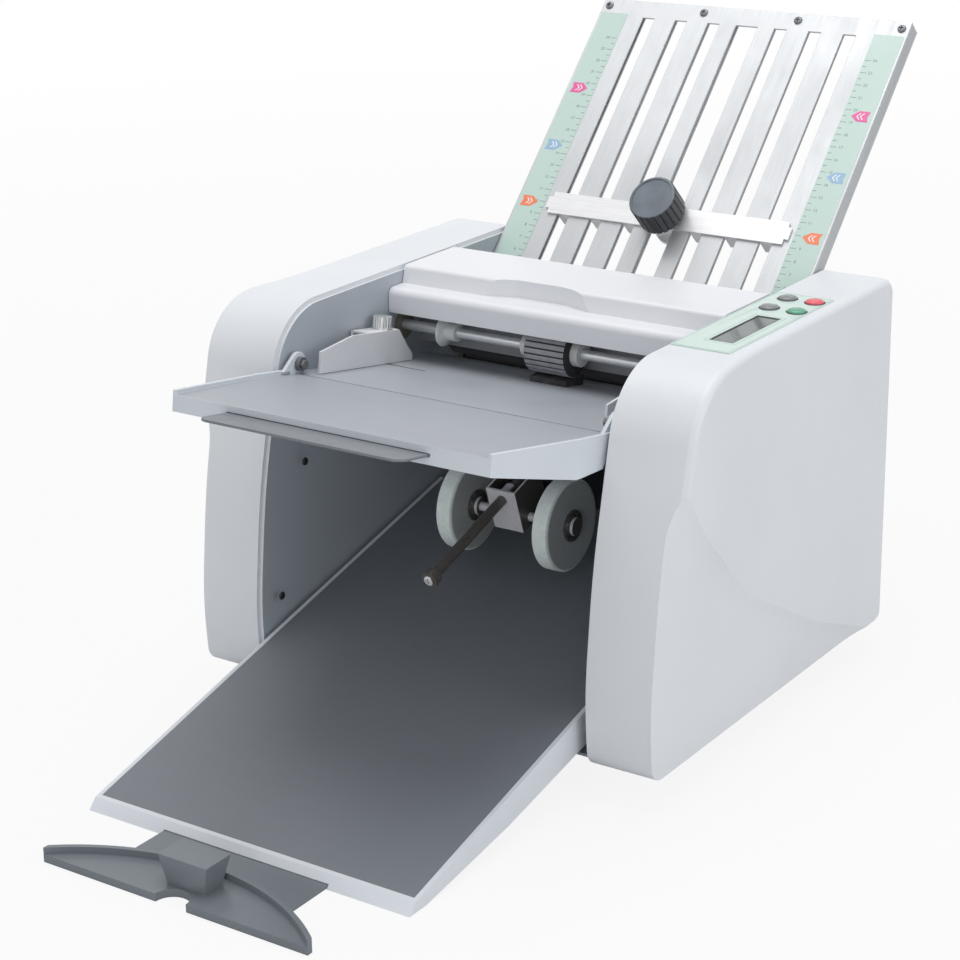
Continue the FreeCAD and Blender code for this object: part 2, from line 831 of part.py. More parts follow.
def rear_cover():
    """Rear panel with the cut-outs of the power inlet and the rocker switch."""
    panel = block(("-bay_half", "bay_half"), ("rear_cover_place", "rear_cover_place + rear_cover_wall"),
                  ("0", "rear_cover_height"))
    depth = ("rear_cover_place - overrun", "rear_cover_place + overrun")
    inlet = block(("inlet_place - inlet_width / 2", "inlet_place + inlet_width / 2"), depth,
                  ("inlet_height - inlet_tall / 2", "inlet_height + inlet_tall / 2"))
    rocker = block(
        ("rocker_place - rocker_width / 2", "rocker_place + rocker_width / 2"), depth,
        ("inlet_height - rocker_tall / 2", "inlet_height + rocker_tall / 2"))
    return seat(cut(panel, inlet, rocker), "rear_cover")


def power_inlet():
    """Mains inlet: body behind the panel, rim on it, open socket with three flat pins."""
    def box_about(half_wide, half_tall, front, rear):
        return block(("inlet_place - (%s)" % half_wide, "inlet_place + (%s)" % half_wide),
                     (front, rear),
                     ("inlet_height - (%s)" % half_tall, "inlet_height + (%s)" % half_tall))
    outside = "rear_cover_place + rear_cover_wall"
    body = box_about("inlet_width / 2", "inlet_tall / 2", outside + " - inlet_body", outside)
    rim = box_about("inlet_width / 2 + inlet_rim / 2", "inlet_tall / 2 + inlet_rim / 2", outside,
                    outside + " + inlet_flange")
    socket = box_about("inlet_width / 2 - inlet_wall", "inlet_tall / 2 - inlet_wall",
                       outside + " - inlet_socket", outside + " + overrun")
    pins = []
    for across, up in (("0", "inlet_wall"), ("-inlet_wall * 2", "-inlet_wall"),
                       ("inlet_wall * 2", "-inlet_wall")):
        pins.append(block(
            ("inlet_place + (%s) - inlet_wall / 4" % across, "inlet_place + (%s) + inlet_wall / 4" % across),
            (outside + " - inlet_body + inlet_wall / 2", outside + " - inlet_wall"),
            ("inlet_height + (%s) - inlet_wall / 2" % up, "inlet_height + (%s) + inlet_wall / 2" % up)))
    return seat(fuse(cut(fuse(body, rim), socket), *pins), "power_inlet")


def rocker_switch():
    """Rocker with a rounded back, tilting about a crosswise pin behind the panel."""
    body = new_body("rocker_body")
    drawing = sketch(body, "YZ", "rocker_place - rocker_width / 2 + rocker_gap")
    half = "rocker_tall / 2 - rocker_gap * 3"
    outline(drawing, [
        ("-rocker_depth", minus(half)),
        ("inlet_flange", minus(half)),
        ("inlet_flange / 2", "0"),
        ("inlet_flange", half),
        ("-rocker_depth", half),
    ])
    feature(body, "Pad", drawing, "rocker_width - rocker_gap * 2")
    reach = "rocker_width / 2 - rocker_gap + rocker_pin"
    pin = rod(("rocker_place - (%s)" % reach, "rocker_place + (%s)" % reach), "0", "0",
              "rocker_pin_radius")
    return seat(fuse(body, pin), "rocker_switch",
                ("0", "rear_cover_place + rear_cover_wall", "inlet_height"), "rocker_tilt")


def motor():
    """Drive motor flanged to the right frame."""
    start = "bay_half - motor_length"
    parts = [
        rod((start, "bay_half"), "0", "0", "motor_radius"),
        rod((start + " - motor_cap", start), "0", "0", "motor_cap_radius"),
        rod(("bay_half", "frame_outer"), "0", "0", "motor_boss_radius"),
    ]
    bore = rod((start + " + motor_wall", "frame_outer + overrun"), "0", "0",
               "motor_shaft_radius + run_fit")
    chamber = rod((start + " + motor_wall", "bay_half - motor_wall"), "0", "0",
                  "motor_radius - motor_wall")
    return seat(cut(fuse(*parts), bore, chamber), "motor", ("0", "motor_place", "motor_height"))


def pulley_points(start, end, radius, inner):
    """Half outline of a flanged pulley, between two places along the shaft."""
    return [
        (start, inner),
        (start, radius + " + pulley_flange_rise"),
        (start + " + pulley_flange", radius + " + pulley_flange_rise"),
        (start + " + pulley_flange", radius),
        (end, radius),
        (end, radius + " + pulley_flange_rise"),
        (end + " + pulley_flange", radius + " + pulley_flange_rise"),
        (end + " + pulley_flange", inner),
    ]


def motor_pulley():
    """Motor shaft with the iron drum of the rotor and the flanged pulley."""
    start = "bay_half - motor_length + motor_wall + slip_gap"
    drum = ("bay_half - motor_length + motor_wall + rotor_margin", "bay_half - motor_wall - rotor_margin")
    drum_radius = "motor_radius - motor_wall - rotor_gap"
    points = [(start, "0"), (start, "motor_shaft_radius"), (drum[0], "motor_shaft_radius"),
              (drum[0], drum_radius), (drum[1], drum_radius), (drum[1], "motor_shaft_radius"),
              ("pulley_start", "motor_shaft_radius")]
    points += pulley_points("pulley_start", "pulley_end", "motor_pulley_radius", "motor_shaft_radius")[1:-1]
    points += [("pulley_end + pulley_flange", "0")]
    return seat(turned_along_x("motor_pulley_body", points), "motor_pulley",
                ("0", "motor_place", "motor_height"))


def fold_roller(index):
    """Rubber covered fold roller turned in one with its shaft."""
    if index == 1:
        left = [("-pulley_end - pulley_flange", "0")]
        left += [(minus(along), radius) for along, radius in reversed(
            pulley_points("pulley_start", "pulley_end", "feed_pulley_radius", "roller_shaft_radius")[1:-1])]
        left += [("-pulley_start", "roller_shaft_radius")]
    else:
        left = [("-gear_start", "0"), ("-gear_start", "roller_shaft_radius")]
    points = left + [
        ("-roller_length / 2", "roller_shaft_radius"),
        ("-roller_length / 2", "roller_radius"),
        ("roller_length / 2", "roller_radius"),
        ("roller_length / 2", "roller_shaft_radius"),
        ("pulley_start", "roller_shaft_radius"),
        ("pulley_start", "0"),
    ]
    body = turned_along_x("fold_roller_%d_body" % index, points)
    return seat(body, "fold_roller_%d" % index, ("0", "roller_%d_y" % index, "roller_%d_z" % index))


GEAR_TEETH = 24
TOOTH_ROOT_SHARE = 0.36
TOOTH_PITCH_SHARE = 0.22
TOOTH_TIP_SHARE = 0.11


def roller_gears():
    """Four equal gears in mesh, with the last one moulded in one with the belt pulley."""
    pitch = 2 * math.pi / GEAR_TEETH
    centres = [(number("roller_%d_y" % index), number("roller_%d_z" % index)) for index in (1, 2, 3, 4)]
    phase = 0.0
    radius = number("roller_pitch")
    for index, (along, up) in enumerate(centres, 1):
        if index > 1:
            before = centres[index - 2]
            direction = math.atan2(up - before[1], along - before[0])
            phase = 2 * direction + math.pi + pitch / 2 - phase
        rings = (
            (radius * (1 - number("gear_dedendum_share")), TOOTH_ROOT_SHARE),
            (radius, TOOTH_PITCH_SHARE),
            (radius * (1 + number("gear_addendum_share")), TOOTH_TIP_SHARE),
        )
        corners = []
        for tooth in range(GEAR_TEETH):
            middle = phase + tooth * pitch
            for reach, half in rings:
                corners.append((reach, middle - half * pitch))
            for reach, half in reversed(rings):
                corners.append((reach, middle + half * pitch))
        start = number("gear_start")
        wire = Part.makePolygon(
            [FreeCAD.Vector(start, reach * math.cos(angle), reach * math.sin(angle))
             for reach, angle in corners + corners[:1]])
        across = FreeCAD.Vector(number("gear_width"), 0, 0)
        gear = Part.Face(wire).extrude(across)
        if index == 4:
            inner = number("roller_shaft_radius")
            outer = number("roller_pulley_radius")
            rim = outer + number("pulley_flange_rise")
            begin, end = number("pulley_start"), number("pulley_end")
            flange = number("pulley_flange")
            for low, length, reach in ((begin, flange, rim), (begin + flange, end - begin - flange, outer),
                                       (end, flange, rim)):
                gear = gear.fuse(Part.makeCylinder(reach, length, FreeCAD.Vector(low, 0, 0), CROSSWISE))
            bore = Part.makeCylinder(inner, end - start, FreeCAD.Vector(start, 0, 0), CROSSWISE)
        else:
            bore = Part.makeCylinder(number("roller_shaft_radius"), number("gear_width"),
                                     FreeCAD.Vector(start, 0, 0), CROSSWISE)
        made = doc.addObject("Part::Feature", "Gear")
        made.Shape = gear.cut(bore).removeSplitter()
        seat(made, "roller_gear_%d" % index, ("0", "roller_%d_y" % index, "roller_%d_z" % index))


def belt(name, first, second, side):
    """Endless flat belt round two pulleys; each is (y, z, radius) as names of numbers."""
    ends = []
    for y_name, z_name, radius_name in (first, second):
        ends.append((number(y_name), number(z_name), number(radius_name) + number("slip_gap")))
    thickness = number("belt_thickness")
    low = number("pulley_start") + number("pulley_flange") + number("slip_gap")
    width = number("pulley_end") - number("slip_gap") - low
    start = low if side > 0 else -low - width
    (y_1, z_1, r_1), (y_2, z_2, r_2) = ends
    gap = math.hypot(y_2 - y_1, z_2 - z_1)
    heading = math.atan2(z_2 - z_1, y_2 - y_1)
    lean = math.acos((r_1 - r_2) / gap)

    def loop(extra):
        def point(y, z, radius, angle):
            reach = radius + extra
            return FreeCAD.Vector(start, y + reach * math.cos(angle), z + reach * math.sin(angle))
        upper, lower = heading + lean, heading - lean
        a, b = point(y_1, z_1, r_1, upper), point(y_1, z_1, r_1, lower)
        c, d = point(y_2, z_2, r_2, lower), point(y_2, z_2, r_2, upper)
        back = point(y_1, z_1, r_1, heading + math.pi)
        front = point(y_2, z_2, r_2, heading)
        edges = [Part.Arc(a, back, b).toShape(), Part.LineSegment(b, c).toShape(),
                 Part.Arc(c, front, d).toShape(), Part.LineSegment(d, a).toShape()]
        return Part.Face(Part.Wire(edges))

    made = doc.addObject("Part::Feature", "Belt")
    made.Shape = loop(thickness).cut(loop(0)).extrude(FreeCAD.Vector(width, 0, 0))
    return seat(made, name)


def roller_bushes():
    """Flanged bushes of the roller and feed shafts, pressed into both frames."""
    bushes = []
    shafts = [("roller_%d_y" % index, "roller_%d_z" % index, "roller_shaft_radius") for index in (1, 2, 3, 4)]
    shafts.append(("feed_place", "feed_height", "feed_shaft_radius"))
    for along, up, radius in shafts:
        for near_end, far_end, flange_end in (
            ("bay_half - bush_flange", "frame_outer", "bay_half"),
            ("-frame_outer", "-bay_half + bush_flange", "-bay_half + bush_flange"),
        ):
            sleeve = rod((near_end, far_end), along, up, "bush_radius")
            flange = rod((flange_end + " - bush_flange", flange_end), along, up, "bush_flange_radius")
            bore = rod((near_end + " - overrun", far_end + " + overrun"), along, up, radius + " + run_fit")
            bushes.append(cut(fuse(sleeve, flange), bore))
    return seat(group(*bushes), "roller_bushes")


def feed_shaft():
    """Feed shaft through both frames, with its left end inside the belt pulley."""
    body = turned_along_x("feed_shaft_body", [
        ("-pulley_end - pulley_flange", "0"),
        ("-pulley_end - pulley_flange", "feed_shaft_radius"),
        ("gear_start", "feed_shaft_radius"),
        ("gear_start", "0"),
    ])
    return seat(body, "feed_shaft", ("0", "feed_place", "feed_height"))


def feed_roller():
    """Fluted rubber feed roller; turned about Z, then laid along X."""
    body = new_body("feed_roller_body")
    drawing = sketch(body, "YZ", "-feed_half_width")
    ring(drawing, "0", "0", "feed_radius")
    ring(drawing, "0", "0", "feed_shaft_radius")
    feature(body, "Pad", drawing, "feed_half_width * 2")
    doc.recompute()
    flute = sketch(body, "YZ", "feed_half_width + overrun")
    vee(flute, "feed_radius", "feed_flute_depth")
    repeat(body, flute, "(feed_half_width + overrun) * 2", "feed_flutes")
    return seat(body, "feed_roller", ("0", "feed_place", "feed_height"))


def feed_collars():
    """Ring and cap beside the feed roller, paper disc, and the belt pulley on the left end."""
    pieces = []
    for low, high, radius in (
        ("-feed_half_width - ring_width", "-feed_half_width", "ring_radius"),
        ("feed_half_width", "feed_half_width + cap_width", "cap_radius"),
    ):
        pieces.append(cut(rod((low, high), "0", "0", radius),
                          rod((low + " - overrun", high + " + overrun"), "0", "0", "feed_shaft_radius")))
    pieces.append(turned_along_x("feed_disc_body", [
        ("disc_place", "feed_shaft_radius"),
        ("disc_place", "disc_radius"),
        ("disc_place + disc_rim", "disc_radius"),
        ("disc_place + disc_rim + disc_slope", "disc_hub_radius"),
        ("disc_place + disc_width", "disc_hub_radius"),
        ("disc_place + disc_width", "feed_shaft_radius"),
    ]))
    points = pulley_points("pulley_start", "pulley_end", "feed_pulley_radius", "feed_shaft_radius")
    pieces.append(turned_along_x("feed_pulley_body", [(minus(along), radius) for along, radius in points]))
    return seat(group(*pieces), "feed_collars", ("0", "feed_place", "feed_height"))


def separator_pad():
    """Rubber pad on its holder under the feed roller."""
    top = "feed_height - feed_radius - separator_gap"
    holder = block(("-separator_half_width", "separator_half_width"),
                   ("feed_place - separator_depth / 2", "feed_place + separator_depth / 2"),
                   (top + " - separator_base * 2", top))
    return seat(holder, "separator_pad")


def feed_guide():
    """Dark cross plate over the paper path, screwed between the frames."""
    plate = block(("-bay_half", "bay_half"),
                  ("feed_guide_place", "feed_guide_place + feed_guide_sheet"),
                  ("feed_guide_high - feed_guide_height", "feed_guide_high"))
    return seat(plate, "feed_guide")


TABLE_AT = ("0", "pivot_place", "pivot_height")
TABLE_TURN = "-table_tilt"


def inner_table():
    """Fixed table between the frames, with a slot for each side guide's screw and a pad window."""
    body = new_body("inner_table_body")
    drawing = sketch(body, "XY", "-table_drop")
    outline(drawing, [
        ("-inner_table_half_width", "slip_gap"),
        ("inner_table_half_width", "slip_gap"),
        ("inner_table_half_width", "inner_tab_start"),
        ("bay_half", "inner_tab_start"),
        ("bay_half", "inner_table_length"),
        ("-bay_half", "inner_table_length"),
        ("-bay_half", "inner_tab_start"),
        ("-inner_table_half_width", "inner_tab_start"),
    ])
    feature(body, "Pad", drawing, "table_sheet", backwards=True)
    openings = sketch(body, "XY", "-table_drop")
    slot_half = "(screw_shank_radius + slip_gap * 2)"
    slot_outer = "guide_half_gap + guide_screw_reach + " + slot_half
    slot_inner = "guide_half_gap + guide_screw_reach - guide_travel - " + slot_half
    pad_middle = "((feed_place - pivot_place) + (table_drop + table_sheet / 2) * sin(table_tilt))"
    pad_middle += " / cos(table_tilt)"
    pad_half = "separator_depth / 2 / cos(table_tilt) + slip_gap * 2"
    pad_across = "separator_half_width + slip_gap"
    slot_along = ("guide_screw_place - " + slot_half, "guide_screw_place + " + slot_half)
    pad_along = ("%s - (%s)" % (pad_middle, pad_half), "%s + %s" % (pad_middle, pad_half))
    for across, along in (
        ((slot_inner, slot_outer), slot_along),
        ((minus(slot_outer), minus(slot_inner)), slot_along),
        ((minus(pad_across), pad_across), pad_along),
    ):
        outline(openings, [
            (across[0], along[0]),
            (across[1], along[0]),
            (across[1], along[1]),
            (across[0], along[1]),
        ])
    feature(body, "Pocket", openings, "table_sheet")
    return seat(body, "inner_table", TABLE_AT, TABLE_TURN)


def front_table():
    """Front half of the feed table: plate, two moulded side flanges, front lip and hinge ears."""
    nose = "-front_table_length"
    body = new_body("front_table_plate")
    drawing = sketch(body, "XY", "-table_drop + flange_rim")
    outline(drawing, [
        ("-front_table_half_width", "-front_table_gap"),
        ("-front_table_half_width", "-front_table_straight"),
        ("-front_table_nose_half_width", nose),
        ("front_table_nose_half_width", nose),
        ("front_table_half_width", "-front_table_straight"),
        ("front_table_half_width", "-front_table_gap"),
    ])
    feature(body, "Pad", drawing, "flange_deep + flange_rim", backwards=True)
    above = new_body("front_table_top")
    field = sketch(above, "XY", "-table_drop")
    outline(field, [
        ("-front_table_half_width + flange_sheet", "overrun"),
        ("-front_table_half_width + flange_sheet", "-front_table_straight"),
        ("-front_table_nose_half_width + flange_sheet", nose),
        ("-front_table_nose_half_width + flange_sheet", nose + " - overrun"),
        ("front_table_nose_half_width - flange_sheet", nose + " - overrun"),
        ("front_table_nose_half_width - flange_sheet", nose),
        ("front_table_half_width - flange_sheet", "-front_table_straight"),
        ("front_table_half_width - flange_sheet", "overrun"),
    ])
    feature(above, "Pad", field, "overrun")
    skirt = new_body("front_table_skirt")
    side = sketch(skirt, "YZ", "-front_table_half_width - overrun")
    outline(side, [
        (nose + " - overrun", "-table_drop - flange_nose_depth"),
        (nose, "-table_drop - flange_nose_depth"),
        ("-flange_deep_place", "-table_drop - flange_deep"),
        ("-flange_rear_place", "-table_drop - flange_rear_depth"),
        ("-flange_rear_place / 2", "-table_drop - table_sheet * 2"),
        ("overrun", "-table_drop - table_sheet * 2"),
        ("overrun", "-table_drop - flange_deep * 2"),
        (nose + " - overrun", "-table_drop - flange_deep * 2"),
    ])
    feature(skirt, "Pad", side, "(front_table_half_width + overrun) * 2")
    inner = new_body("front_table_inside")
    hollow = sketch(inner, "XY", "-table_drop - table_sheet")
    outline(hollow, [
        ("-front_table_half_width + flange_sheet", "overrun"),
        ("-front_table_half_width + flange_sheet", "-front_table_straight"),
        ("-front_table_nose_half_width + flange_sheet", nose + " + flange_sheet"),
        ("front_table_nose_half_width - flange_sheet", nose + " + flange_sheet"),
        ("front_table_half_width - flange_sheet", "-front_table_straight"),
        ("front_table_half_width - flange_sheet", "overrun"),
    ])
    feature(inner, "Pad", hollow, "flange_deep * 2", backwards=True)
    slide_top = "-table_drop - table_sheet - extension_drop + slip_gap"
    mouth = block(("-extension_half_width - slip_gap", "extension_half_width + slip_gap"),
                  (nose + " - overrun", nose + " + flange_sheet + slip_gap"),
                  (slide_top + " - extension_sheet - slip_gap * 2", slide_top))
    shell = cut(body, above, skirt, inner, mouth)
    pieces = [shell]
    for low, high in (("ear_inner", "ear_inner + ear_sheet"), ("-ear_inner - ear_sheet", "-ear_inner")):
        pieces.append(rod((low, high), "0", "0", "ear_half_depth"))
        pieces.append(block((low, high), ("-ear_half_depth - front_table_gap", "-front_table_gap"),
                            ("-table_drop - table_sheet", "0")))
    for sign in (1, -1):
        inner_edge = "extension_half_width + slip_gap"
        outer_edge = inner_edge + " + extension_rail"
        across = (inner_edge, outer_edge) if sign > 0 else (minus(outer_edge), minus(inner_edge))
        pieces.append(block(across, (nose + " + flange_sheet", "-extension_nose + extension_length"),
                            (slide_top + " - extension_sheet - slip_gap * 2", "-table_drop - table_sheet")))
        lip = "extension_half_width - extension_rail"
        ledge = (lip, outer_edge) if sign > 0 else (minus(outer_edge), minus(lip))
        pieces.append(block(ledge, (nose + " + flange_sheet", "-extension_nose + extension_length"),
                            (slide_top + " - extension_sheet * 2 - slip_gap * 2",
                             slide_top + " - extension_sheet - slip_gap * 2")))
    pins = rod(("-bay_half", "bay_half"), "0", "0", "pivot_pin_radius + run_fit")
    return seat(cut(fuse(*pieces), pins), "front_table", TABLE_AT, TABLE_TURN)


def table_pivot_bolts():
    """Shouldered pivot bolts of the front table, fixed in the side frames."""
    pins = []
    for sign in (1, -1):
        spans = (("ear_inner - slip_gap", "frame_outer", "pivot_pin_radius"),
                 ("ear_inner - slip_gap - pivot_pin_head", "ear_inner - slip_gap", "pivot_pin_head_radius"))
        made = []
        for low, high, radius in spans:
            span = (low, high) if sign > 0 else (minus(high), minus(low))
            made.append(rod(span, "0", "0", radius))
        pins.append(fuse(*made))
    return seat(group(*pins), "table_pivot_bolts", TABLE_AT, TABLE_TURN)


def table_extension():
    """Flat plate that pulls out of the front table."""
    body = new_body("table_extension_body")
    drawing = sketch(body, "XY", "-table_drop - table_sheet - extension_drop")
    outline(drawing, [
        ("-extension_half_width", "-extension_nose"),
        ("extension_half_width", "-extension_nose"),
        ("extension_half_width", "-extension_nose + extension_length"),
        ("-extension_half_width", "-extension_nose + extension_length"),
    ])
    plate = feature(body, "Pad", drawing, "extension_sheet", backwards=True)
    front = -number("extension_nose")
    round_edges(body, plate, "extension_corner_radius", lambda middle, edge: (
        near(middle, number("extension_half_width"), front, "XY")
        or near(middle, -number("extension_half_width"), front, "XY")))
    return seat(body, "table_extension", TABLE_AT, TABLE_TURN)


def side_guide(side):
    """Folded side guide: inner wall with a sloping top, flange for the clamp screw, outer leg."""
    hand = "right" if side > 0 else "left"
    floor_level = "-table_drop + slip_gap"
    inner, outer = "guide_half_gap", "guide_half_gap + guide_flange_reach"
    wall = new_body(hand + "_guide_wall")
    level = inner if side > 0 else "-guide_half_gap - guide_sheet"
    drawing = sketch(wall, "YZ", level)
    outline(drawing, [
        ("guide_front", floor_level),
        ("guide_front", "guide_front_height"),
        ("guide_peak_front", "guide_peak_height"),
        ("guide_peak_rear", "guide_peak_height"),
        ("guide_tail", "guide_tail_height"),
        ("guide_tail_place", "guide_tail_low"),
        ("guide_tail_place", floor_level),
    ])
    feature(wall, "Pad", drawing, "guide_sheet")

    def span(low, high):
        return (low, high) if side > 0 else (minus(high), minus(low))
    along = ("guide_flange_front", "guide_peak_rear")
    flange = block(span(inner, outer), along, ("guide_peak_height - guide_sheet", "guide_peak_height"))
    leg = block(span(outer + " - guide_sheet", outer), along, (floor_level, "guide_peak_height"))
    hole = rod(("" if side > 0 else "-") + "(guide_half_gap + guide_screw_reach)", "guide_screw_place",
               ("guide_peak_height - overrun", "guide_peak_height + overrun"),
               "screw_shank_radius + run_fit")
    return seat(cut(fuse(wall, flange, leg), hole), hand + "_guide", TABLE_AT, TABLE_TURN)


def guide_screw(side):
    """Knurled thumb screw with its washer and nut."""
    hand = "right" if side > 0 else "left"
    body = new_body(hand + "_guide_screw_body")
    head_drawing = sketch(body, "XY", "guide_peak_height + screw_washer")
    ring(head_drawing, "0", "0", "screw_head_radius")
    feature(body, "Pad", head_drawing, "screw_head")
    doc.recompute()
    knurl = sketch(body, "XY", "guide_peak_height + screw_washer + screw_head")
    vee(knurl, "screw_head_radius", "screw_flute_depth")
    repeat(body, knurl, "screw_head", "screw_flutes")
    washer = rod("0", "0", ("guide_peak_height", "guide_peak_height + screw_washer"), "screw_washer_radius")
    nut_top = "-table_drop - table_sheet - slip_gap"
    shank = rod("0", "0", (nut_top + " - screw_nut", "guide_peak_height + screw_washer"),
                "screw_shank_radius")
    nut = rod("0", "0", (nut_top + " - screw_nut", nut_top), "screw_nut_radius")
    across = ("" if side > 0 else "-") + "(guide_half_gap + guide_screw_reach)"
    shift = "guide_screw_place"
    screw = fuse(body, washer, shank, nut)
    return seat(screw, hand + "_guide_screw",
                (across, "pivot_place + %s * cos(table_tilt)" % shift,
                 "pivot_height - %s * sin(table_tilt)" % shift), TABLE_TURN)


def top_cover():
    """Moulded lid between the side covers: stepped shell, end walls, thumb hollow, hinge ears."""
    outer = new_body("lid_outer")
    drawing = sketch(outer, "YZ", "-lid_half_length")
    outline(drawing, [
        ("lid_front", "lid_low"),
        ("lid_front", "lid_step_height"),
        ("lid_step_place", "lid_step_height"),
        ("lid_step_place + lid_wall", "cover_height"),
        ("lid_rear", "cover_height"),
        ("lid_rear", "lid_low + lid_wall"),
    ])
    shell = feature(outer, "Pad", drawing, "lid_half_length * 2")
    shell = round_edges(outer, shell, "lid_lip_radius", lambda middle, edge: near(
        middle, number("lid_front"), number("lid_step_height")))
    round_edges(outer, shell, "lid_step_radius", lambda middle, edge: (
        near(middle, number("lid_step_place") + number("lid_wall"), number("cover_height"))
        or near(middle, number("lid_rear"), number("cover_height"))))
    scoop = new_body("lid_scoop")
    plan = sketch(scoop, "XY", "cover_height + overrun")
    outline(plan, [
        ("scoop_left - scoop_slope", "lid_front - overrun"),
        ("scoop_left - scoop_slope", "lid_step_place - slip_gap"),
        ("scoop_left + scoop_slope", "lid_step_place + lid_wall + scoop_depth"),
        ("scoop_right - scoop_slope", "lid_step_place + lid_wall + scoop_depth"),
        ("scoop_right + scoop_slope", "lid_step_place - slip_gap"),
        ("scoop_right + scoop_slope", "lid_front - overrun"),
    ])
    hollowed = feature(scoop, "Pad", plan, "lid_step_drop + overrun", backwards=True)
    round_edges(scoop, hollowed, "scoop_radius", lambda middle, edge: (
        near(middle, number("scoop_left") + number("scoop_slope"),
             number("lid_step_place") + number("lid_wall") + number("scoop_depth"), "XY")
        or near(middle, number("scoop_right") - number("scoop_slope"),
                number("lid_step_place") + number("lid_wall") + number("scoop_depth"), "XY")))
    inside = new_body("lid_inside")
    hollow = sketch(inside, "YZ", "-lid_half_length + lid_wall")
    outline(hollow, [
        ("lid_front + lid_wall", "lid_low - overrun"),
        ("lid_front + lid_wall", "lid_step_height - lid_wall"),
        ("lid_step_place + lid_wall + scoop_depth", "lid_step_height - lid_wall"),
        ("lid_step_place + lid_wall * 3 + scoop_depth", "cover_height - lid_wall"),
        ("lid_rear - lid_wall", "cover_height - lid_wall"),
        ("lid_rear - lid_wall", "lid_low - overrun"),
    ])
    feature(inside, "Pad", hollow, "(lid_half_length - lid_wall) * 2")
    pieces = [cut(outer, scoop, inside)]
    for sign in (1, -1):
        ear = ("lid_half_length - lid_ear_sheet", "lid_half_length")
        pin = ("lid_half_length - lid_ear_sheet", "frame_outer")
        if sign < 0:
            ear = (minus(ear[1]), minus(ear[0]))
            pin = (minus(pin[1]), minus(pin[0]))
        pieces.append(rod(ear, "lid_hinge_place", "lid_hinge_height", "lid_ear_radius"))
        pieces.append(block(ear, ("lid_rear - lid_wall", "lid_hinge_place"),
                            ("lid_hinge_height - lid_ear_radius", "lid_hinge_height + lid_ear_radius")))
        pieces.append(rod(pin, "lid_hinge_place", "lid_hinge_height", "lid_hinge_radius"))
    return seat(fuse(*pieces), "top_cover")


def control_panel():
    """Overlay plate with the openings of the window and the four buttons."""
    body = new_body("control_panel_body")
    drawing = sketch(body, "XY", "cover_height")
    for corners in (("panel_inner", "panel_outer", "panel_front", "panel_rear"),
                    ("window_inner", "window_outer", "window_front", "window_rear")):
        inner, outer, front, rear = corners
        outline(drawing, [(inner, front), (outer, front), (outer, rear), (inner, rear)])
    for across in ("button_inner", "button_outer"):
        for along in ("button_front", "button_rear"):
            ring(drawing, across, along, "button_radius + button_gap")
    feature(body, "Pad", drawing, "panel_sheet")
    return seat(body, "control_panel")


def display_window():
    window = block(("window_inner", "window_outer"), ("window_front", "window_rear"),
                   ("cover_height + panel_sheet - window_rise - window_sheet",
                    "cover_height + panel_sheet - window_rise"))
    return seat(window, "display_window")


def control_board():
    """Circuit board hung from posts under the right cover's top wall."""
    top = "cover_height - cover_wall - button_flange - board_gap - button_gap"
    board = block(("panel_inner + cover_wall", "panel_outer - cover_wall * 2"),
                  ("panel_front + cover_wall", "panel_rear - cover_wall"),
                  (top + " - board_thickness", top))
    posts = []
    for along in ("panel_front + cover_wall * 3", "(window_rear + button_front) / 2"):
        posts.append(rod("(panel_inner + panel_outer) / 2", along, (top, "cover_height - cover_wall"),
                         "button_stem"))
    return seat(fuse(board, *posts), "control_board")


def button(label, across, along):
    """Push button: domed cap over a flange that holds it under the cover's top wall."""
    under = "cover_height - cover_wall - button_gap"
    body = new_body(label + "_body")
    drawing = sketch(body, "XY", under)
    ring(drawing, "0", "0", "button_radius")
    cap = feature(body, "Pad", drawing, "cover_wall + button_gap + panel_sheet + button_rise")
    top = number("cover_height") + number("panel_sheet") + number("button_rise")
    round_edges(body, cap, "button_round", lambda middle, edge: abs(middle.z - top) < number("slip_gap"))
    flange = rod("0", "0", (under + " - button_flange", under), "button_flange_radius")
    return seat(fuse(body, flange), label, (across, along, "0"))


PLATE_AT = ("0", "plate_top_place", "plate_top_height")


def slotted_sheet(label, level, reach="0"):
    """One sheet of the upper fold plate with its seven slots, the narrow ones widened by a reach."""
    body = new_body(label + "_body")
    drawing = sketch(body, "XY", level)
    outline(drawing, [
        ("-plate_half_width", "0"),
        ("plate_half_width", "0"),
        ("plate_half_width", "-plate_length"),
        ("-plate_half_width", "-plate_length"),
    ])
    for step in range(-3, 4):
        middle = "(%d * slot_pitch)" % step
        half = "centre_slot_width / 2" if step == 0 else "(slot_width / 2 + %s)" % reach
        outline(drawing, [
            (middle + " - " + half, "-slot_top"),
            (middle + " + " + half, "-slot_top"),
            (middle + " + " + half, "-slot_bottom"),
            (middle + " - " + half, "-slot_bottom"),
        ])
    feature(body, "Pad", drawing, "plate_sheet", backwards=True)
    return seat(body, label, PLATE_AT, "plate_tilt")


def plate_side_rails():
    """Spacer rails between the two sheets and the closing bar along the top."""
    under = ("-plate_thickness + plate_sheet", "-plate_sheet")
    rails = [
        block(("-plate_half_width", "-plate_half_width + plate_rail_width"), ("-plate_length", "0"), under),
        block(("plate_half_width - plate_rail_width", "plate_half_width"), ("-plate_length", "0"), under),
        block(("-plate_half_width", "plate_half_width"), ("-plate_rail_width * 2", "0"), under),
    ]
    return seat(fuse(*rails), "plate_side_rails", PLATE_AT, "plate_tilt")


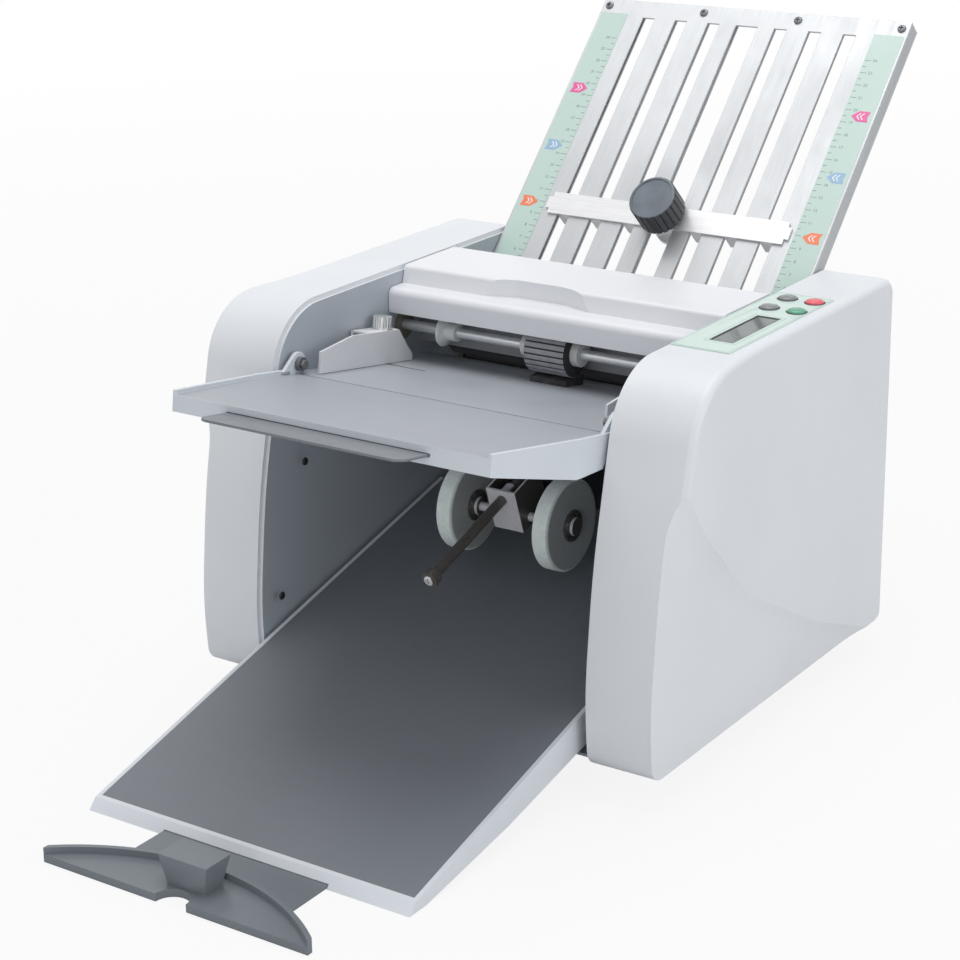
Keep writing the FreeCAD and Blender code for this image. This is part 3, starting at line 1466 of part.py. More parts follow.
def upper_stop_bar():
    """Fold stop: bar across the plate with a finger through every slot."""
    low, high = "-stop_place - stop_depth / 2", "-stop_place + stop_depth / 2"
    level = ("slip_gap", "slip_gap + stop_sheet")
    pieces = [block(("-stop_half_width", "stop_half_width"), (low, high), level)]
    for sign in (1, -1):
        ends = ("stop_half_width", "stop_half_width + stop_tongue")
        if sign < 0:
            ends = (minus(ends[1]), minus(ends[0]))
        pieces.append(block(ends, (low + " + stop_end_notch", high + " - stop_end_notch"), level))
    for step in range(-3, 4):
        middle = "%d * slot_pitch" % step
        half = "stop_finger_width / 2"
        if step == 0:
            half += " + (centre_slot_width - slot_width) / 2"
        pieces.append(block(
            ("%s - (%s)" % (middle, half), "%s + %s" % (middle, half)),
            (low, low + " + stop_finger_sheet"),
            ("-plate_thickness - slip_gap", "slip_gap")))
    pieces.append(rod("0", "-stop_place", ("-plate_thickness - slip_gap", "slip_gap"), "stop_boss_radius"))
    pieces.append(rod("0", "-stop_place", ("-plate_thickness - slip_gap - stop_sheet * 2",
                                           "-plate_thickness - slip_gap"), "centre_slot_width * 2 / 3"))
    hole = rod("0", "-stop_place", ("-plate_thickness", "slip_gap + overrun"),
               "knob_shank_radius + run_fit")
    return seat(cut(fuse(*pieces), hole), "upper_stop_bar", PLATE_AT, "plate_tilt")


def upper_stop_knob():
    """Fluted clamp knob of the fold stop."""
    base = "slip_gap * 2 + stop_sheet"
    body = new_body("upper_stop_knob_body")
    rim_drawing = sketch(body, "XY", base + " + knob_collar")
    ring(rim_drawing, "0", "0", "knob_radius")
    rim = feature(body, "Pad", rim_drawing, "knob_height")
    top = (number("slip_gap") * 2 + number("stop_sheet") + number("knob_collar") + number("knob_height"))
    round_edges(body, rim, "knob_round", lambda middle, edge: abs(middle.z - top) < number("slip_gap"))
    dish = sketch(body, "XY", base + " + knob_collar + knob_height")
    ring(dish, "0", "0", "knob_dish_radius")
    feature(body, "Pocket", dish, "knob_dish")
    flute = sketch(body, "XY", base + " + knob_collar + knob_height")
    vee(flute, "knob_radius", "knob_flute_depth")
    repeat(body, flute, "knob_height", "knob_flutes")
    collar = rod("0", "0", (base, base + " + knob_collar"), "knob_collar_radius")
    shank = rod("0", "0", ("-plate_thickness + slip_gap", base), "knob_shank_radius")
    return seat(fuse(body, collar, shank), "upper_stop_knob",
                ("0", "plate_top_place - stop_place * cos(plate_tilt)",
                 "plate_top_height - stop_place * sin(plate_tilt)"), "plate_tilt")


LOWER_AT = (
    "0",
    "second_nip_y + lower_plate_start * sin(second_nip_slope)",
    "second_nip_z - lower_plate_start * cos(second_nip_slope)",
)


def lower_fold_plate():
    """Two sheets with spacers at the ends, hung between the frames below the second nip."""
    outer = "lower_plate_half_gap + lower_plate_sheet"
    width = ("-lower_plate_half_width", "lower_plate_half_width")
    length = ("0", "lower_plate_length")
    front = block(width, length, (minus(outer), "-lower_plate_half_gap"))
    rear = block(width, length, ("lower_plate_half_gap", outer))
    ends = [block((low, high), length, ("-lower_plate_half_gap", "lower_plate_half_gap")) for low, high in (
        ("-lower_plate_half_width", "-lower_plate_half_width + plate_rail_width"),
        ("lower_plate_half_width - plate_rail_width", "lower_plate_half_width"))]
    slot = block(("-lower_slot_half_width", "lower_slot_half_width"),
                 ("lower_plate_length / 4", "lower_plate_length - lower_stop_depth"),
                 ("0", outer + " + overrun"))
    return seat(cut(fuse(front, rear, *ends), slot), "lower_fold_plate", LOWER_AT, "lower_tilt")


def lower_stop():
    """Stop bar in the lower fold plate with its clamp knob behind the plate."""
    inner = "lower_plate_half_width - plate_rail_width - slip_gap"
    half = "lower_plate_half_gap - slip_gap"
    bar = block((minus(inner), inner), ("lower_stop_place", "lower_stop_place + lower_stop_depth"),
                (minus(half), half))
    outer = "lower_plate_half_gap + lower_plate_sheet + slip_gap"
    along = "lower_stop_place + lower_stop_depth / 2"
    shank = rod("0", along, ("0", outer), "lower_stop_depth / 2")
    knob = rod("0", along, (outer, outer + " + lower_knob_height"), "lower_knob_radius")
    return seat(fuse(bar, shank, knob), "lower_stop", LOWER_AT, "lower_tilt")


PRESS_AT = ("0", "press_place", "press_height")


def press_shaft():
    shaft = rod(("-bay_half", "bay_half"), "0", "0", "press_shaft_radius")
    return seat(shaft, "press_shaft", PRESS_AT)


def press_arm():
    """Hub on the cross shaft with the sloping rod and its end cap."""
    hub = rod(("-press_hub_half_width", "press_hub_half_width"), "0", "0", "press_hub_radius")
    bar = rod("0", ("-press_rod_length", "0"), "0", "press_rod_radius")
    cap = rod("0", ("-press_rod_length - press_cap", "-press_rod_length"), "0", "press_cap_radius")
    bore = rod(("-press_hub_half_width - overrun", "press_hub_half_width + overrun"), "0", "0",
               "press_shaft_radius + run_fit")
    return seat(cut(fuse(hub, bar, cap), bore), "press_arm", PRESS_AT, "press_tilt")


def wheel_bracket():
    """Folded bracket that slides on the rod, with the axle of the two press wheels."""
    front = ("-bracket_place", "-bracket_place + bracket_sheet")
    tall = ("-bracket_bottom", "bracket_top")
    pieces = [block(("-bracket_half_width", "bracket_half_width"), front, tall)]
    deep = ("-bracket_place", "-bracket_place + bracket_depth")
    for low, high in (("-bracket_half_width", "-bracket_half_width + bracket_sheet"),
                      ("bracket_half_width - bracket_sheet", "bracket_half_width")):
        pieces.append(block((low, high), deep, tall))
    sleeve_start = "-bracket_place + bracket_sheet"
    pieces.append(rod("0", (sleeve_start, sleeve_start + " + bracket_sleeve"), "0", "bracket_sleeve_radius"))
    shell = cut(fuse(*pieces), rod("0", ("-bracket_place - overrun", "0"), "0", "press_rod_radius + run_fit"))
    reach = "wheel_inner + wheel_width"
    axle = [rod((minus(reach + " + wheel_hub_rise + slip_gap + axle_collar"),
                 reach + " + wheel_hub_rise + slip_gap + axle_collar"), "-axle_place", "-axle_drop",
                "axle_radius")]
    for start in ("wheel_inner - wheel_hub_rise - slip_gap - axle_collar",
                  reach + " + wheel_hub_rise + slip_gap"):
        end = start + " + axle_collar"
        axle.append(rod((start, end), "-axle_place", "-axle_drop", "axle_collar_radius"))
        axle.append(rod((minus(end), minus(start)), "-axle_place", "-axle_drop", "axle_collar_radius"))
    return seat(fuse(shell, *axle), "wheel_bracket", PRESS_AT, "press_tilt")


def press_wheel(side):
    """Soft press wheel with a hub, running free on the axle."""
    hand = "right" if side > 0 else "left"
    bore = "axle_radius + run_fit"
    inner, outer = "wheel_inner", "wheel_inner + wheel_width"
    points = [
        (inner + " - wheel_hub_rise", bore),
        (inner + " - wheel_hub_rise", "wheel_hub_radius"),
        (inner, "wheel_hub_radius"),
        (inner, "wheel_radius - wheel_round"),
        (inner + " + wheel_round / 2", "wheel_radius"),
        (outer + " - wheel_round / 2", "wheel_radius"),
        (outer, "wheel_radius - wheel_round"),
        (outer, "wheel_hub_radius"),
        (outer + " + wheel_hub_rise", "wheel_hub_radius"),
        (outer + " + wheel_hub_rise", bore),
    ]
    if side < 0:
        points = [(minus(along), radius) for along, radius in reversed(points)]
    body = turned_along_x(hand + "_press_wheel_body", points)
    return seat(body, hand + "_press_wheel",
                ("0", "press_place - axle_place * cos(press_tilt) + axle_drop * sin(press_tilt)",
                 "press_height - axle_place * sin(press_tilt) - axle_drop * cos(press_tilt)"))


TRAY_AT = ("0", "tray_front", "tray_front_height")


def delivery_tray():
    """Moulded tray shell: wedge sides, open underneath, recessed on top for the dark surface."""
    body = new_body("tray_body")
    drawing = sketch(body, "YZ", "-tray_half_width")
    outline(drawing, [
        ("0", "0"),
        ("-tray_nose", "-tray_nose_drop"),
        ("tray_land", "-tray_land_drop"),
        ("tray_knee", "-tray_knee_drop"),
        ("tray_deep", "-tray_depth"),
        ("tray_length", "-tray_depth"),
        ("tray_length", "0"),
    ])
    feature(body, "Pad", drawing, "tray_half_width * 2")
    recess = block(("-tray_half_width + tray_wall", "tray_half_width - tray_wall"),
                   ("tray_wall", "tray_length + overrun"), ("-tray_surface_sheet", "overrun"))
    hollow = block(("-tray_half_width + tray_wall", "tray_half_width - tray_wall"),
                   ("tray_land", "tray_length - tray_wall"),
                   ("-tray_depth - overrun", "-tray_surface_sheet - tray_skin"))
    window = block(("-tray_window_half_width", "tray_window_half_width"),
                   ("-tray_nose - overrun", "tray_window"),
                   ("-tray_depth - overrun", "-tray_surface_sheet - tray_skin"))
    hooks = []
    for low, high in (("-bay_half", "-tray_half_width"), ("tray_half_width", "bay_half")):
        hooks.append(rod((low, high), "tray_length - tray_depth / 2", "-tray_depth / 2", "tray_hook"))
    return seat(fuse(cut(body, recess, hollow, window), *hooks), "delivery_tray", TRAY_AT, "tray_tilt")


def tray_surface():
    """Dark plate let into the top of the tray."""
    plate = block(("-tray_half_width + tray_wall", "tray_half_width - tray_wall"),
                  ("tray_wall", "tray_length"), ("-tray_surface_sheet", "0"))
    return seat(plate, "tray_surface", TRAY_AT, "tray_tilt")


def tray_extension():
    slider = block(("-slider_half_width", "slider_half_width"), ("slider_front", "slider_rear"),
                   ("-foot_height", "-foot_height + slider_sheet"))
    return seat(slider, "tray_extension")


def stop_block():
    """Block on the stop plate, widening upwards."""
    wedge = doc.addObject("Part::Wedge", "StopBlock")
    wedge.Placement = FreeCAD.Placement(FreeCAD.Vector(), FreeCAD.Rotation(CROSSWISE, QUARTER_TURN))
    for side, formula in (
        ("Xmin", "-block_half_width"),
        ("Xmax", "block_half_width"),
        ("X2min", "-block_top_half_width"),
        ("X2max", "block_top_half_width"),
        ("Ymin", "0"),
        ("Ymax", "block_height"),
        ("Zmin", "-block_place - block_depth"),
        ("Zmax", "-block_place"),
        ("Z2min", "-block_top_place - block_top_depth"),
        ("Z2max", "-block_top_place"),
        ("Placement.Base.z", "stopper_thickness"),
    ):
        bind(wedge, side, formula)
    return wedge


def stack_stop():
    """Stop plate with a curved back edge, a raised rim along it, a front notch and the stop block."""
    top = "stopper_thickness + stopper_rim_rise"
    centre = "stopper_depth - stopper_radius"
    disc = rod("0", centre, ("0", top), "stopper_radius")
    field = block(("-stopper_half_width", "stopper_half_width"), ("0", "stopper_depth"), ("0", top))
    well = rod("0", centre, ("stopper_thickness", top + " + overrun"), "stopper_radius - stopper_rim")
    notch = rod("0", "0", ("-overrun", "overrun"), "notch_radius")
    seating = block(("-slider_half_width", "slider_half_width"),
                    ("slider_front - stopper_front", "stopper_depth + overrun"), ("-overrun", "slider_sheet"))
    plate = cut(common(disc, field), well, notch, seating)
    return seat(fuse(plate, stop_block()), "stack_stop", ("0", "stopper_front", "-foot_height"))


for make in (
    base_plate, tie_rods, rubber_feet, rear_cover, power_inlet, rocker_switch, motor, motor_pulley,
    roller_gears, roller_bushes, feed_shaft, feed_roller, feed_collars, separator_pad, feed_guide,
    inner_table, front_table, table_pivot_bolts, table_extension, top_cover, control_panel,
    display_window, control_board, plate_side_rails, upper_stop_bar, upper_stop_knob,
    lower_fold_plate, lower_stop, press_shaft, press_arm, wheel_bracket, delivery_tray, tray_surface,
    tray_extension, stack_stop,
):
    make()
for hand in (1, -1):
    side_cover(hand)
    side_frame(hand)
    side_guide(hand)
    guide_screw(hand)
    press_wheel(hand)
for index in (1, 2, 3, 4):
    fold_roller(index)
slotted_sheet("upper_plate_front", "0")
slotted_sheet("upper_plate_back", "-plate_thickness + plate_sheet", "back_slot_reach")
belt("drive_belt", ("roller_4_y", "roller_4_z", "roller_pulley_radius"),
     ("motor_place", "motor_height", "motor_pulley_radius"), 1)
belt("feed_belt", ("roller_1_y", "roller_1_z", "feed_pulley_radius"),
     ("feed_place", "feed_height", "feed_pulley_radius"), -1)
button("start_button", "button_outer", "button_front")
button("stop_button", "button_outer", "button_rear")
button("plus_button", "button_inner", "button_rear")
button("minus_button", "button_inner", "button_front")
doc.recompute()

failed = [item.Label for item in doc.Objects if "Invalid" in item.State or "Error" in item.State]
if failed:
    raise RuntimeError("not built: " + ", ".join(failed))
for piece in PIECES:
    if piece.Shape.isNull() or not piece.Shape.isValid() or not piece.Shape.Solids:
        raise RuntimeError("no valid solid: " + piece.Label)
os.makedirs("parts", exist_ok=True)
for piece in PIECES:
    piece.Shape.exportStep("parts/%s.step" % piece.Label)
    box = piece.Shape.BoundBox
    print("%-22s solids %d volume %9.1f  X %7.1f..%7.1f  Y %7.1f..%7.1f  Z %6.1f..%6.1f" % (
        piece.Label, len(piece.Shape.Solids), piece.Shape.Volume,
        box.XMin, box.XMax, box.YMin, box.YMax, box.ZMin, box.ZMax))
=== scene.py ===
"""Looks of the desk paper folding machine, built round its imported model.

Metres, in the model's own frame: X across the machine, Y from the delivery end to the back, Z up.
"""

import json
import math

import bmesh
import bpy
from mathutils import Matrix, Vector

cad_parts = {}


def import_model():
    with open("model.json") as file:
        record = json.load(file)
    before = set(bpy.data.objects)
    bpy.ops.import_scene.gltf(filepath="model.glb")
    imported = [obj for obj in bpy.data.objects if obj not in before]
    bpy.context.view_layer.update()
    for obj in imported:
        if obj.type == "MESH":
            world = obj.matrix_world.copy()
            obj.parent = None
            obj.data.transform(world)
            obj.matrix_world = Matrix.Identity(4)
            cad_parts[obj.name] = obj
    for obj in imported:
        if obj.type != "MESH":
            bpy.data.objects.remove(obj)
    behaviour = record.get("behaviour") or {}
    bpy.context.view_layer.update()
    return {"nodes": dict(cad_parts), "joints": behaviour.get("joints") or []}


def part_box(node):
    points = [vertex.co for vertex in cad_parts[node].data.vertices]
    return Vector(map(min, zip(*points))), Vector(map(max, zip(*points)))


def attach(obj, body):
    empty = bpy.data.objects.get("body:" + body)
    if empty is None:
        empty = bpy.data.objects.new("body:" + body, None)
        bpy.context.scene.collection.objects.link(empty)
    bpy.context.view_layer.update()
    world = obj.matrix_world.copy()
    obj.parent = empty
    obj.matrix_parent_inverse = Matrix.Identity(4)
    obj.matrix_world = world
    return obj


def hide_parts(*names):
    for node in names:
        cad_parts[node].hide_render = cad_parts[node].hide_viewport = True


MM = 0.001

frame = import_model()
nodes = frame["nodes"]
joints = {joint["name"]: joint for joint in frame["joints"]}


def slope(direction):
    """Angle about X of a direction in the plane of Y and Z."""
    return math.atan2(direction[2], direction[1])


def tilted(origin, angle):
    """Local frame with X across, Y up a slope and Z out of it."""
    return Matrix.Translation(Vector(origin)) @ Matrix.Rotation(angle, 4, "X")


def joint_place(name):
    return Vector(joints[name]["pos_m"])


def put(made):
    """Link an object into the scene."""
    bpy.context.scene.collection.objects.link(made)


# Local frames of the sloping pieces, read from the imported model. Names that hold a length
# without MM are in millimetres.
SHEET = 1.5
PLATE_SLOPE = slope(joints["upper_plate_lift"]["axis"])
plate_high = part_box("upper_plate_front")[1]
PLATE_FRAME = tilted(
    (0, plate_high.y - SHEET * MM * math.sin(PLATE_SLOPE), plate_high.z), PLATE_SLOPE)
TABLE_SLOPE = slope([-part for part in joints["table_extension_slide"]["axis"]])
TABLE_FRAME = tilted(joint_place("feed_table_hinge"), TABLE_SLOPE)
PRESS_SLOPE = slope([-part for part in joints["press_carriage_slide"]["axis"]])
PRESS_FRAME = tilted(joint_place("press_arm_hinge"), PRESS_SLOPE)


# Materials

def tint(red, green, blue):
    """Linear colour of an 8-bit display colour."""
    made = []
    for level in (red, green, blue):
        share = level / 255
        made.append(share / 12.92 if share <= 0.04045 else ((share + 0.055) / 1.055) ** 2.4)
    return (*made, 1.0)


def scaled(colour, factor):
    return (*(min(1.0, part * factor) for part in colour[:3]), 1.0)


HOUSING_TINT = tint(225, 228, 232)
FRAME_TINT = tint(176, 183, 191)
# Painted shade for the flanks of the wheel bracket
FLANK_SHADE_TINT = tint(92, 90, 88)
DUST_TINT = tint(190, 190, 186)
PALE_DUST_TINT = tint(150, 152, 155)
GRIME_TINT = tint(120, 122, 122)

# Where a mask starts and ends, as a share of facing one axis
SIDE_FACING = (0.5, 0.7)
TOP_FACING = (0.8, 0.95)
KNOB_SHEEN_FACING = (0.7, 0.95)

# Stretch of a noise that turns it into rings about X, or into lines along one axis
RING_STRETCH = (1, 0.05, 0.05)
LINE_STRETCH = {"X": (0.02, 1, 1), "Y": (1, 0.02, 1)}
SCRATCH_STRETCH = (1, 0.12, 1)
CLOUD_STRETCH = (1, 0.6, 1)

MOULD_GRAIN, MOULD_DEPTH = 0.45 * MM, 0.012 * MM
MOULD_SINK, MOULD_SINK_STRENGTH = 0.25 * MM, 0.25
EDGE_LINE, EDGE_BLUR, EDGE_SHADE = 0.5 * MM, 0.2 * MM, 0.42
SHAFT_METAL, SHAFT_PAINT_GAP, SHAFT_PAINT_SHADE = 0.55, 0.5 * MM, 0.8
TABLE_DROP = 6.2 * MM
TABLE_LEVEL = (0.3 * MM, 0.5 * MM)
BRUSHED_SMUDGE, BRUSHED_SHADE = 0.28, 0.72
RUBBER_SPECULAR = 0.35


class Paint:
    """Node material under construction, in the frame's own metres."""

    def __init__(self, name, metal=0.0, **constants):
        self.material = bpy.data.materials.new(name)
        self.material.use_nodes = True
        self.tree = self.material.node_tree
        self.shader = self.tree.nodes["Principled BSDF"]
        self.shader.inputs["Metallic"].default_value = metal
        for socket, value in constants.items():
            self.shader.inputs[socket.replace("_", " ")].default_value = value
        self.where = self.add("ShaderNodeTexCoord").outputs["Object"]

    def add(self, kind, **settings):
        node = self.tree.nodes.new(kind)
        for setting, value in settings.items():
            setattr(node, setting, value)
        return node

    def link(self, source, target):
        self.tree.links.new(source, target)

    def mapped(self, stretch=(1, 1, 1), turn=0.0, origin=(0, 0, 0)):
        """Coordinates about an origin, turned back by a slope about X, then stretched."""
        moved = self.add("ShaderNodeMapping", vector_type="TEXTURE")
        moved.inputs["Location"].default_value = origin
        moved.inputs["Rotation"].default_value = (turn, 0, 0)
        moved.inputs["Scale"].default_value = [1 / part for part in stretch]
        self.link(self.where, moved.inputs["Vector"])
        return moved.outputs["Vector"]

    def noise(self, size, detail=3.0, where=None, distort=0.0):
        """Noise whose features are about as large as the size given."""
        node = self.add("ShaderNodeTexNoise")
        node.inputs["Scale"].default_value = 1 / size
        node.inputs["Detail"].default_value = detail
        node.inputs["Distortion"].default_value = distort
        self.link(where or self.where, node.inputs["Vector"])
        return node.outputs["Fac"]

    def spread(self, source, low, high, start=0.3, end=0.7):
        """A value from low to high as the source goes from start to end."""
        node = self.add("ShaderNodeMapRange")
        for socket, value in (("From Min", start), ("From Max", end), ("To Min", low), ("To Max", high)):
            node.inputs[socket].default_value = value
        self.link(source, node.inputs["Value"])
        return node.outputs["Result"]

    def mixed(self, share, first, second):
        """Colour between two colours or sockets."""
        node = self.add("ShaderNodeMix", data_type="RGBA")
        self.link(share, node.inputs["Factor"])
        for socket, colour in ((node.inputs[6], first), (node.inputs[7], second)):
            if isinstance(colour, tuple):
                socket.default_value = colour
            else:
                self.link(colour, socket)
        return node.outputs[2]

    def tones(self, source, colour, low, high):
        """One colour, scaled from low to high as the source rises."""
        return self.mixed(self.spread(source, 0, 1), scaled(colour, low), scaled(colour, high))

    def math(self, operation, first, second=None):
        node = self.add("ShaderNodeMath", operation=operation)
        for socket, value in zip(node.inputs, (first, second)):
            if value is None:
                continue
            if isinstance(value, (int, float)):
                socket.default_value = value
            else:
                self.link(value, socket)
        return node.outputs[0]

    def relief(self, height, depth, strength=1.0, under=None):
        node = self.add("ShaderNodeBump")
        node.inputs["Distance"].default_value = depth
        node.inputs["Strength"].default_value = strength
        self.link(height, node.inputs["Height"])
        if under is not None:
            self.link(under, node.inputs["Normal"])
        return node.outputs["Normal"]

    def finish(self, colour=None, rough=None, normal=None):
        for socket, source in (("Base Color", colour), ("Roughness", rough), ("Normal", normal)):
            if source is not None:
                self.link(source, self.shader.inputs[socket])
        return self.material

    def axis_of(self, vector, axis):
        """One coordinate of a vector."""
        split = self.add("ShaderNodeSeparateXYZ")
        self.link(vector, split.inputs["Vector"])
        return split.outputs[axis]

    def facing(self, axis, turn=0.0):
        """How much the surface faces one axis of a frame turned about X."""
        turned = self.add("ShaderNodeMapping", vector_type="TEXTURE")
        turned.inputs["Rotation"].default_value = (turn, 0, 0)
        self.link(self.tree.nodes["Texture Coordinate"].outputs["Normal"], turned.inputs["Vector"])
        return self.axis_of(turned.outputs["Vector"], axis)

    def radius_from(self, centre):
        """Distance from an axis along X through a centre."""
        split = self.add("ShaderNodeSeparateXYZ")
        self.link(self.mapped(origin=centre), split.inputs["Vector"])
        squares = [self.math("MULTIPLY", split.outputs[axis], split.outputs[axis]) for axis in "YZ"]
        return self.math("SQRT", self.math("ADD", *squares))


def orange_peel(paint):
    return paint.relief(paint.noise(1.6 * MM, 1), 0.02 * MM, 0.6)


def rubber_skin(paint):
    return paint.relief(paint.noise(0.5 * MM, 4), 0.05 * MM, 0.7)


def moulded(name, colour, rough=0.42, grain=MOULD_GRAIN, depth=MOULD_DEPTH, mottle=0.025):
    """Moulded plastic with an eroded grain, slightly uneven sheen and colour."""
    paint = Paint(name)
    broad = paint.noise(110 * MM, 2)
    middle = paint.noise(9 * MM, 4)
    base = paint.tones(broad, colour, 1 - mottle, 1 + mottle)
    spots = paint.spread(paint.noise(1.4 * MM, 5), 0, 0.06, 0.55, 0.75)
    base = paint.mixed(spots, base, scaled(colour, 0.8))
    shine = paint.spread(middle, rough - 0.04, rough + 0.05)
    fine = paint.relief(paint.noise(grain, 2), depth)
    waves = paint.relief(broad, MOULD_SINK, MOULD_SINK_STRENGTH, fine)
    return paint.finish(base, shine, waves)


def painted(name, colour, rough=0.38, metal=0.0, mottle=0.04):
    """Stoved paint on sheet metal, with orange peel and a few handling marks."""
    paint = Paint(name, metal)
    broad = paint.noise(60 * MM, 3)
    base = paint.tones(broad, colour, 1 - mottle, 1 + mottle)
    marks = paint.spread(paint.noise(4 * MM, 6, paint.mapped(SCRATCH_STRETCH)), 0, 0.12, 0.62, 0.8)
    base = paint.mixed(marks, base, scaled(colour, 1.25))
    peel = orange_peel(paint)
    return paint.finish(base, paint.spread(broad, rough - 0.05, rough + 0.06), peel)


def side_frame_paint():
    """Blue-grey paint; the edge faces carry a painted highlight in the cover's pale colour and a dark line
    beside it.
    """
    paint = Paint("side_frame_paint")
    broad = paint.noise(70 * MM, 3)
    base = paint.tones(broad, FRAME_TINT, 0.97, 1.03)
    edge = paint.spread(paint.math("ABSOLUTE", paint.facing("X")), 1, 0, *SIDE_FACING)
    across = paint.math("ABSOLUTE", paint.axis_of(paint.where, "X"))
    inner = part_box("right_side_frame")[0].x
    # Painted highlight: away from the inner face, the edge faces take the cover's pale colour as a light
    # line along the cover's edge.
    painted_highlight = paint.spread(across, 0, 1, inner + EDGE_LINE, inner + EDGE_LINE + EDGE_BLUR)
    base = paint.mixed(edge, base, paint.mixed(painted_highlight, scaled(FRAME_TINT, EDGE_SHADE), HOUSING_TINT))
    peel = orange_peel(paint)
    return paint.finish(base, paint.spread(broad, 0.32, 0.42), peel)


def feed_shaft_paint():
    """Ground feed shaft; its left end, beyond the disc, takes the frame's colour darkened as painted shade.
    """
    paint = Paint("feed_shaft_steel")
    rings = paint.noise(0.5 * MM, 2, paint.mapped(RING_STRETCH))
    base = paint.mixed(paint.spread(rings, 0, 1), tint(230, 231, 233), tint(236, 237, 239))
    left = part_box("feed_collars")[0].x
    # Painted shade: the left end gets the frame's grey scaled down, so that it looks like the shaded frame
    # behind it.
    end = paint.spread(paint.axis_of(paint.where, "X"), 1, 0,
                       left - 2 * SHAFT_PAINT_GAP, left - SHAFT_PAINT_GAP)
    paint.link(paint.spread(end, SHAFT_METAL, 0, 0, 1), paint.shader.inputs["Metallic"])
    return paint.finish(paint.mixed(end, base, scaled(FRAME_TINT, SHAFT_PAINT_SHADE)),
                        paint.spread(rings, 0.28, 0.31))


def ribbed_paint(name, joint, node, groove, rib, depth=0.45 * MM):
    """Rubber about a joint's axis, with a painted highlight on its ribs and dark between them."""
    paint = Paint(name, Specular_IOR_Level=RUBBER_SPECULAR)
    low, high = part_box(node)
    outer = (high.z - low.z) / 2
    # Painted highlight: the rib tops take the pale colour, the grooves the dark one.
    share = paint.spread(paint.radius_from(joint_place(joint)), 0, 1, outer - depth, outer - depth / 2)
    rib_highlight_spread = paint.spread(paint.noise(5 * MM, 4), 0.75, 1.0)
    skin = rubber_skin(paint)
    return paint.finish(paint.mixed(paint.math("MULTIPLY", share, rib_highlight_spread), groove, rib),
                        paint.spread(paint.noise(14 * MM), 0.6, 0.75), skin)


def bracket_paint():
    """Bright plated sheet whose flanks are darkened with painted shade."""
    paint = Paint("bracket_steel", 0.3, Anisotropic=0.35)
    lines = paint.noise(0.5 * MM, 4, paint.mapped(LINE_STRETCH["Y"], PRESS_SLOPE))
    cloud = paint.noise(9 * MM, 3)
    bright = paint.mixed(paint.spread(lines, 0, 1), tint(226, 224, 228), tint(244, 243, 246))
    bright = paint.mixed(paint.spread(cloud, 0, 0.3), bright, tint(190, 188, 194))
    # Painted shade: faces turned across the machine take the dark flank colour.
    shaded_flank = paint.spread(paint.math("ABSOLUTE", paint.facing("X")), 0, 1, *SIDE_FACING)
    return paint.finish(paint.mixed(shaded_flank, bright, FLANK_SHADE_TINT), paint.spread(lines, 0.3, 0.4),
                        paint.relief(lines, 0.006 * MM, 0.5))


def feed_table_paint(name, skirt, top):
    """Moulded feed table whose flat top inside the rims is a darker sheet, its darkness partly its paint and
    partly painted shade.
    """
    paint = Paint(name)
    place = paint.mapped(turn=TABLE_SLOPE, origin=joint_place("feed_table_hinge"))
    level = paint.math("ABSOLUTE", paint.math("ADD", paint.axis_of(place, "Z"), TABLE_DROP))
    field = paint.math("MULTIPLY", paint.spread(level, 1, 0, *TABLE_LEVEL),
                       paint.spread(paint.facing("Z", TABLE_SLOPE), 0, 1, *TOP_FACING))
    broad = paint.noise(60 * MM, 3)
    lines = paint.noise(0.8 * MM, 4, paint.mapped(LINE_STRETCH["X"], TABLE_SLOPE))
    # The darker top is partly painted shade.
    sheet = paint.tones(lines, top, 0.96, 1.04)
    shell = paint.tones(broad, skirt, 0.975, 1.025)
    grain = paint.relief(paint.noise(MOULD_GRAIN, 2), MOULD_DEPTH)
    return paint.finish(paint.mixed(field, shell, sheet), paint.spread(broad, 0.36, 0.46), grain)


def knob_paint():
    """Dark knob whose face is painted a lighter blue-grey: a painted sheen where it faces the light."""
    paint = Paint("knob_plastic")
    # Painted sheen: faces along the plate's normal get the lighter blue-grey in place of the light they
    # catch.
    face = paint.spread(paint.facing("Z", PLATE_SLOPE), 0, 1, *KNOB_SHEEN_FACING)
    flow = paint.noise(14 * MM, 3)
    front = paint.mixed(paint.spread(flow, 0, 1), tint(96, 104, 113), tint(112, 120, 129))
    base = paint.mixed(face, tint(66, 68, 72), front)
    dust = paint.spread(paint.noise(2.5 * MM, 6), 0, 0.1, 0.55, 0.8)
    base = paint.mixed(dust, base, PALE_DUST_TINT)
    grain = paint.relief(paint.noise(0.4 * MM, 2), MOULD_DEPTH)
    return paint.finish(base, paint.spread(flow, 0.36, 0.46), grain)


def brushed(name, colour, rough, turn=0.0, along="Y", metal=1.0):
    """Metal with fine parallel lines along one local axis and cloudy handling marks."""
    paint = Paint(name, metal, Anisotropic=0.35)
    where = paint.mapped(LINE_STRETCH[along], turn)
    lines = paint.noise(0.5 * MM, 4, where)
    bands = paint.noise(4 * MM, 3, where)
    cloud = paint.noise(26 * MM, 3, paint.mapped(CLOUD_STRETCH, turn), 0.4)
    base = paint.tones(lines, colour, 0.9, 1.06)
    base = paint.mixed(paint.spread(cloud, 0, BRUSHED_SMUDGE), base, scaled(colour, BRUSHED_SHADE))
    shine = paint.math("ADD", paint.spread(bands, rough - 0.06, rough + 0.06),
                       paint.spread(cloud, -0.03, 0.07))
    return paint.finish(base, shine, paint.relief(lines, 0.01 * MM, 0.5))


